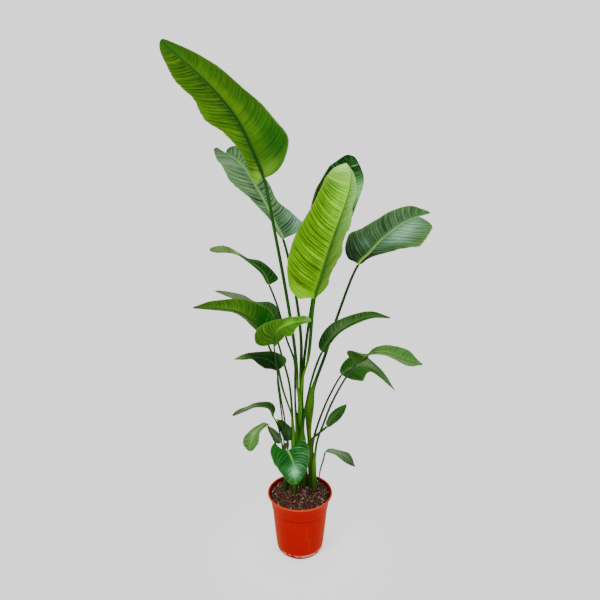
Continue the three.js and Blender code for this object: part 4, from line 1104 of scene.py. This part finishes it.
        slot="leaf_deep", stripes=(0.3, 0.3), lines=(0.2, 0.2), line="8abe5e", streaks=0.5, pleat=9,
        look=dict(upper="4f8137", under="537d39", rib_upper="7cb04e", rib_under="74a04e",
                  stalk="314c28", sheath="4c8922", sheath_margin="46761d"),
        washes=[
            ("355c18", 1, "both", (0.08, 0.22), (0, 3)), ("528634", 0.6, "upper", (0.42, 0.14), (0, 3)),
            ("79a35d", 0.7, "upper", (0.6, 0.3), (0.8, 0.3)), ("284b16", 0.9, "rib", (0.05, 0.2), (0, 1)),
        ],
    ),
    dict(
        node="leaf_drooping_right", shoot="right", ring=1, back=20, mouth=395, radii=[4.2, 3.2],
        stalk=[[64, 50, 458], [96, 70, 540], [124, 84, 596]],
        rib=[[164, 110, 654], [192, 120, 674], [262, 140, 686], [324, 150, 644], [386, 150, 572]],
        face=[[-0.3, -0.6, 0.7], [0.1, -0.6, 0.8], [0.5, -0.4, 0.7]],
        left=[19, 42, 54, 28, 20, 14, 7], right=[50, 76, 50, 28, 20, 15, 6],
        fold=[5, 5, 5], lobes=[0, 0], wide=False,
        slot="leaf_deep", stripes=(0.3, 0.3), lines=(0.2, 0.2), line="749d5e", streaks=0.6, pleat=9,
        look=dict(upper="2c6818", under="547941", rib_upper="62824a", rib_under="74a058",
                  stalk="314c28", sheath="314c28", sheath_margin="46761d"),
        washes=[
            ("708d60", 0.85, "upper", (0.42, 0.14), (-0.2, 0.6)),
            ("607845", 0.85, "upper", (0.92, 0.3), (0, 3)),
            ("1b4913", 0.6, "upper", (0.1, 0.14), (0.6, 0.4)),
        ],
    ),
    dict(
        node="leaf_small_right", shoot="right", ring=2, back=-100, mouth=400, radii=[5, 4],
        stalk=[[50, -8, 448], [72, -30, 480]],
        rib=[[98, -46, 512], [118, -50, 546], [144, -56, 578], [166, -62, 602]],
        face=[[-0.5, -0.6, 0.6], [-0.5, -0.6, 0.6], [-0.5, -0.6, 0.6]],
        left=[12, 14, 17, 17, 15, 10, 6], right=[8, 18, 25, 28, 27, 22, 13],
        fold=[10, 10, 10], lobes=[0, 0], wide=False,
        slot="leaf_deep", stripes=(0.3, 0.3), lines=(0.15, 0.15), line="618e49", streaks=0.5, pleat=7,
        look=dict(upper="2f5f22", under="547339", rib_upper="497132", rib_under="628749",
                  stalk="3b5b1f", sheath="3c5b1d", sheath_margin="546d2a"),
        washes=[
            ("476f35", 0.6, "upper", (0.2, 0.2), (-0.5, 0.4)),
        ],
    ),
    dict(
        node="leaf_arched_left", shoot="rear", ring=1, back=150, mouth=320, radii=[3.2, 2.8],
        stalk=[[-72, 56, 400], [-80, 36, 460], [-88, 12, 500]],
        rib=[[-100, 0, 530], [-116, -4, 563], [-160, -16, 574], [-204, -24, 562], [-246, -36, 547]],
        face=[[0.2, -0.1, 1], [0.1, -0.1, 1], [0, -0.2, 1]],
        left=[10, 18, 22, 24, 18, 12, 8], right=[21, 29, 22, 18, 14, 16, 16],
        fold=[30, 30, 10], lobes=[0, 0], wide=False,
        slot="leaf_grey", stripes=(0.25, 0.25), lines=(0.2, 0.2), line="a9c093", streaks=0.6, pleat=8,
        look=dict(upper="496737", under="4b682f", rib_upper="6e865b", rib_under="6c8749",
                  stalk="3b5d27", sheath="33581f", sheath_margin="46761d"),
        washes=[
            ("8ca17a", 0.7, "upper", (0.62, 0.16), (0.4, 0.4)),
            ("476a2a", 0.8, "upper", (0.5, 0.4), (-0.8, 0.4)),
            ("1f4f16", 1, "both", (0.06, 0.36), (0, 3)), ("424d27", 0.8, "both", (1, 0.12), (0, 3)),
        ],
    ),
    dict(
        node="leaf_spoon_left", shoot="rear", ring=3, back=220, mouth=270, radii=[3.4, 2.8],
        stalk=[[-90, -8, 420], [-106, -20, 470]],
        rib=[[-124, -30, 516], [-144, -44, 508], [-164, -60, 490], [-178, -64, 456], [-184, -66, 426]],
        face=[[-0.2, -0.6, 0.7], [-0.2, -0.9, 0.3], [-0.2, -1, 0.1]],
        left=[16, 13, 14, 24, 28, 22, 18], right=[5, 10, 16, 22, 30, 28, 16],
        fold=[5, 5, 5], lobes=[0, 0], wide=False,
        slot="leaf_fresh", stripes=(0.25, 0.3), lines=(0.2, 0.2), line="a3d677", streaks=0.6, pleat=8,
        look=dict(upper="5f8e43", under="5a8a3d", rib_upper="83b262", rib_under="7eaf5f",
                  stalk="4a5d39", sheath="33581f", sheath_margin="46761d"),
        washes=[
            ("97c17f", 0.6, "upper", (0.45, 0.16), (0.2, 0.35)),
            ("4a812f", 0.75, "upper", (0.95, 0.25), (0, 3)),
            ("476d37", 0.6, "upper", (0.05, 0.15), (0, 3)),
        ],
    ),
    dict(
        node="leaf_heart", shoot="left", ring=2, back=-80, mouth=290, radii=[3.4, 3],
        stalk=[[-56, 4, 390], [-54, -18, 428], [-49, -50, 448]],
        rib=[[-43, -96, 445], [-31, -104, 422], [-22, -114, 401], [-17, -128, 370], [-14, -140, 342]],
        face=[[0.1, -0.9, 0.45], [0.1, -0.9, 0.45], [0.1, -0.9, 0.3]],
        left=[72, 70, 63, 51, 40, 26, 16], right=[58, 64, 58, 55, 46, 35, 30],
        fold=[6, 8, 6], lobes=[19, 50], wide=True,
        slot="leaf_deep", stripes=(0.5, 0.35), lines=(0.6, 0.2), line="80d591", streaks=0.7, pleat=8,
        gloss=0.1,
        look=dict(upper="176215", under="3b7d2c", rib_upper="79b95c", rib_under="69a04f",
                  stalk="445224", sheath="2b5b24", sheath_margin="467931"),
        washes=[
            ("387f39", 0.6, "upper", (0.22, 0.16), (-0.6, 0.35)),
            # painted glare in the middle of the blade
            ("99eeb3", 1, "upper", (0.66, 0.17), (0, 0.45)),
            ("599a5f", 0.5, "upper", (0.4, 0.14), (-0.45, 0.4)),
            ("337820", 0.7, "upper", (0.95, 0.14), (0, 2)),
            ("2e741e", 0.5, "upper", (0.3, 0.3), (0.9, 0.2)),
        ],
    ),
    dict(
        node="leaf_yellow_tipped", shoot="rear", ring=0, back=250, mouth=340, radii=[3, 2.6],
        stalk=[[-46, 42, 380]],
        rib=[[-46, 42, 410], [-54, 44, 438], [-70, 50, 470], [-90, 56, 494]],
        face=[[0.1, -0.9, 0.3], [0.1, -0.9, 0.3], [0.1, -0.9, 0.3]],
        left=[12, 16, 17, 16, 14, 10, 6], right=[16, 26, 30, 26, 20, 14, 6],
        fold=[5, 5, 5], lobes=[0, 0], wide=False,
        slot="leaf_deep", stripes=(0.3, 0.3), lines=(0.15, 0.15), line="4f8141", streaks=0.5, pleat=7,
        look=dict(upper="1e5118", under="3e6a30", rib_upper="467339", rib_under="597d41",
                  stalk="314c28", sheath="314c28", sheath_margin="46761d"),
        washes=[
            ("cfda07", 0.95, "both", (1.02, 0.1), (0, 3)),
            ("5f8056", 0.5, "upper", (0.3, 0.2), (0.4, 0.4)),
        ],
    ),
    dict(
        node="leaf_browning", shoot="rear", ring=2, back=-110, mouth=290, radii=[3, 2.6],
        stalk=[[-64, 34, 380]],
        rib=[[-72, 28, 412], [-86, 22, 430], [-104, 12, 460], [-122, -8, 492]],
        face=[[0.2, -0.7, 0.6], [0.2, -0.7, 0.6], [0.2, -0.7, 0.6]],
        left=[10, 16, 18, 16, 13, 10, 5], right=[10, 16, 18, 16, 13, 10, 5],
        fold=[5, 5, 5], lobes=[0, 0], wide=False,
        slot="leaf_grey", stripes=(0.3, 0.3), lines=(0.15, 0.15), line="7ea86a", streaks=0.5, pleat=7,
        look=dict(upper="668b5e", under="5a7757", rib_upper="8bab80", rib_under="809e76",
                  stalk="314c28", sheath="314c28", sheath_margin="46761d"),
        washes=[
            ("215e18", 0.7, "both", (0.6, 0.14), (-0.4, 0.5)),
            ("999235", 0.9, "both", (0.98, 0.16), (0, 3)),
        ],
    ),
    dict(
        node="leaf_low_right", shoot="single", ring=0, back=0, mouth=244, radii=[3, 2.8],
        stalk=[[79, 43, 288], [90, 33, 334]],
        rib=[[100, 24, 376], [132, 16, 384], [166, 4, 372], [210, 0, 328]],
        face=[[-0.1, -0.5, 0.9], [0.2, -0.4, 0.9], [0.5, -0.4, 0.8]],
        left=[6, 8, 7, 14, 23, 18, 6], right=[6, 16, 21, 27, 29, 20, 10],
        fold=[10, 10, 10], lobes=[0, 0], wide=False,
        slot="leaf_grey", stripes=(0.3, 0.3), lines=(0.15, 0.15), line="93b57a", streaks=0.6, pleat=8,
        look=dict(upper="638056", under="5b734c", rib_upper="7a9766", rib_under="8bae74",
                  stalk="415a30", sheath="40572c", sheath_margin="6c8338"),
        washes=[
            ("335225", 0.95, "both", (0.95, 0.32), (0, 3)),
            ("93b27a", 0.7, "upper", (0.2, 0.2), (0.2, 0.6)),
        ],
    ),
]

for number, leaf in enumerate(LEAVES):
    made = grow_leaf(leaf, 100 + 10 * number)
    made.data.materials.append(leaf_finish(leaf))
    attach(made, "root")
    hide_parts(leaf["node"])

# ---- floor, light and camera ----
# A pale sweep without a horizon, a broad soft key from the upper left front, and weaker fill and top
# lights. The camera stands where the photograph was taken, a little above the middle of the plant.
WHITE = 1.5  # strength of the background where the camera sees it
FLOOR_LIFT = 0.8  # strength that the floor adds to its own shading near the pot
FLOOR_RADIUS = 6.0
SHADE_RADIUS = 0.42
VIEW_HEIGHT = 1.222
VIEW_DISTANCE = 1.556
VIEW_PITCH = 9.2
LENS = 26.46


def studio_floor():
    """Disc on z = 0 whose material takes the pot's shade near it and is plain white further off."""
    q = np.linspace(0, 2 * np.pi, 97)[:-1]
    rim = np.stack([np.cos(q), np.sin(q), 0 * q], 1) * FLOOR_RADIUS / METRES
    floor = build_mesh("studio_floor", rim, [list(range(len(rim)))], smooth=False)
    material, tree, shader = new_material("pale_sweep", Roughness=0.9, Specular_IOR_Level=0.0)
    shader.inputs["Base Color"].default_value = (0.9, 0.9, 0.9, 1)
    where = object_place(tree)
    away = add_node(tree, "ShaderNodeVectorMath", {0: where}, operation="LENGTH").outputs["Value"]
    seen = tree.nodes.new("ShaderNodeLightPath").outputs["Is Camera Ray"]
    plain = add_node(tree, "ShaderNodeEmission", {"Color": (1, 1, 1, 1), "Strength": WHITE})
    lifted = add_node(tree, "ShaderNodeEmission", {"Strength": FLOOR_LIFT})
    soft = tree.nodes.new("ShaderNodeAddShader")
    tree.links.new(shader.outputs[0], soft.inputs[0])
    tree.links.new(lifted.outputs[0], soft.inputs[1])
    mix = add_node(tree, "ShaderNodeMixShader", {0: between(tree, away, 0.10, SHADE_RADIUS)})
    tree.links.new(soft.outputs[0], mix.inputs[1])
    tree.links.new(plain.outputs[0], mix.inputs[2])
    only_seen = add_node(tree, "ShaderNodeMixShader", {0: seen})
    tree.links.new(shader.outputs[0], only_seen.inputs[1])
    tree.links.new(mix.outputs[0], only_seen.inputs[2])
    tree.links.new(only_seen.outputs[0], tree.nodes["Material Output"].inputs["Surface"])
    floor.data.materials.append(material)
    return floor


def studio_world():
    """White where the camera looks past the plant, and a dimmer, upward-brightening grey as light."""
    world = bpy.data.worlds.new("studio")
    world.use_nodes = True
    tree = world.node_tree
    tree.nodes.clear()
    seen = tree.nodes.new("ShaderNodeLightPath").outputs["Is Camera Ray"]
    direction = tree.nodes.new("ShaderNodeTexCoord").outputs["Generated"]
    up = add_node(tree, "ShaderNodeSeparateXYZ", {"Vector": direction}).outputs["Z"]
    strength = between(tree, up, -0.2, 0.9, 0.2, 0.7)
    grey = add_node(tree, "ShaderNodeBackground", {"Color": (0.96, 0.98, 1.0, 1), "Strength": strength})
    white = add_node(tree, "ShaderNodeBackground", {"Color": (1, 1, 1, 1), "Strength": WHITE})
    mix = add_node(tree, "ShaderNodeMixShader", {0: seen})
    tree.links.new(grey.outputs[0], mix.inputs[1])
    tree.links.new(white.outputs[0], mix.inputs[2])
    out = tree.nodes.new("ShaderNodeOutputWorld")
    tree.links.new(mix.outputs[0], out.inputs["Surface"])
    bpy.context.scene.world = world


def soft_light(name, place, target, size, power):
    lamp = bpy.data.lights.new(name, "AREA")
    lamp.shape = "DISK"
    lamp.size = size
    lamp.energy = power
    made = bpy.data.objects.new(name, lamp)
    bpy.context.scene.collection.objects.link(made)
    place, target = np.array(place), np.array(target)
    x, y, z = unit(place - target)
    made.location = place
    made.rotation_euler = (np.arccos(z), 0, np.arctan2(x, -y))


studio_floor()
studio_world()
soft_light("key", (-1.9, -2.4, 2.9), (0, 0, 0.9), 1.6, 74)
soft_light("fill", (2.4, -1.8, 1.4), (0, 0, 0.8), 1.8, 27)
soft_light("top", (0.2, 0.6, 3.6), (0, 0, 0.9), 2.0, 30)

lens = bpy.data.cameras.new("camera")
lens.lens = LENS
lens.sensor_width = 36
camera = bpy.data.objects.new("camera", lens)
camera.location = (0, -VIEW_DISTANCE, VIEW_HEIGHT)
camera.rotation_euler = (np.radians(90 - VIEW_PITCH), 0, 0)
bpy.context.scene.collection.objects.link(camera)
bpy.context.scene.camera = camera
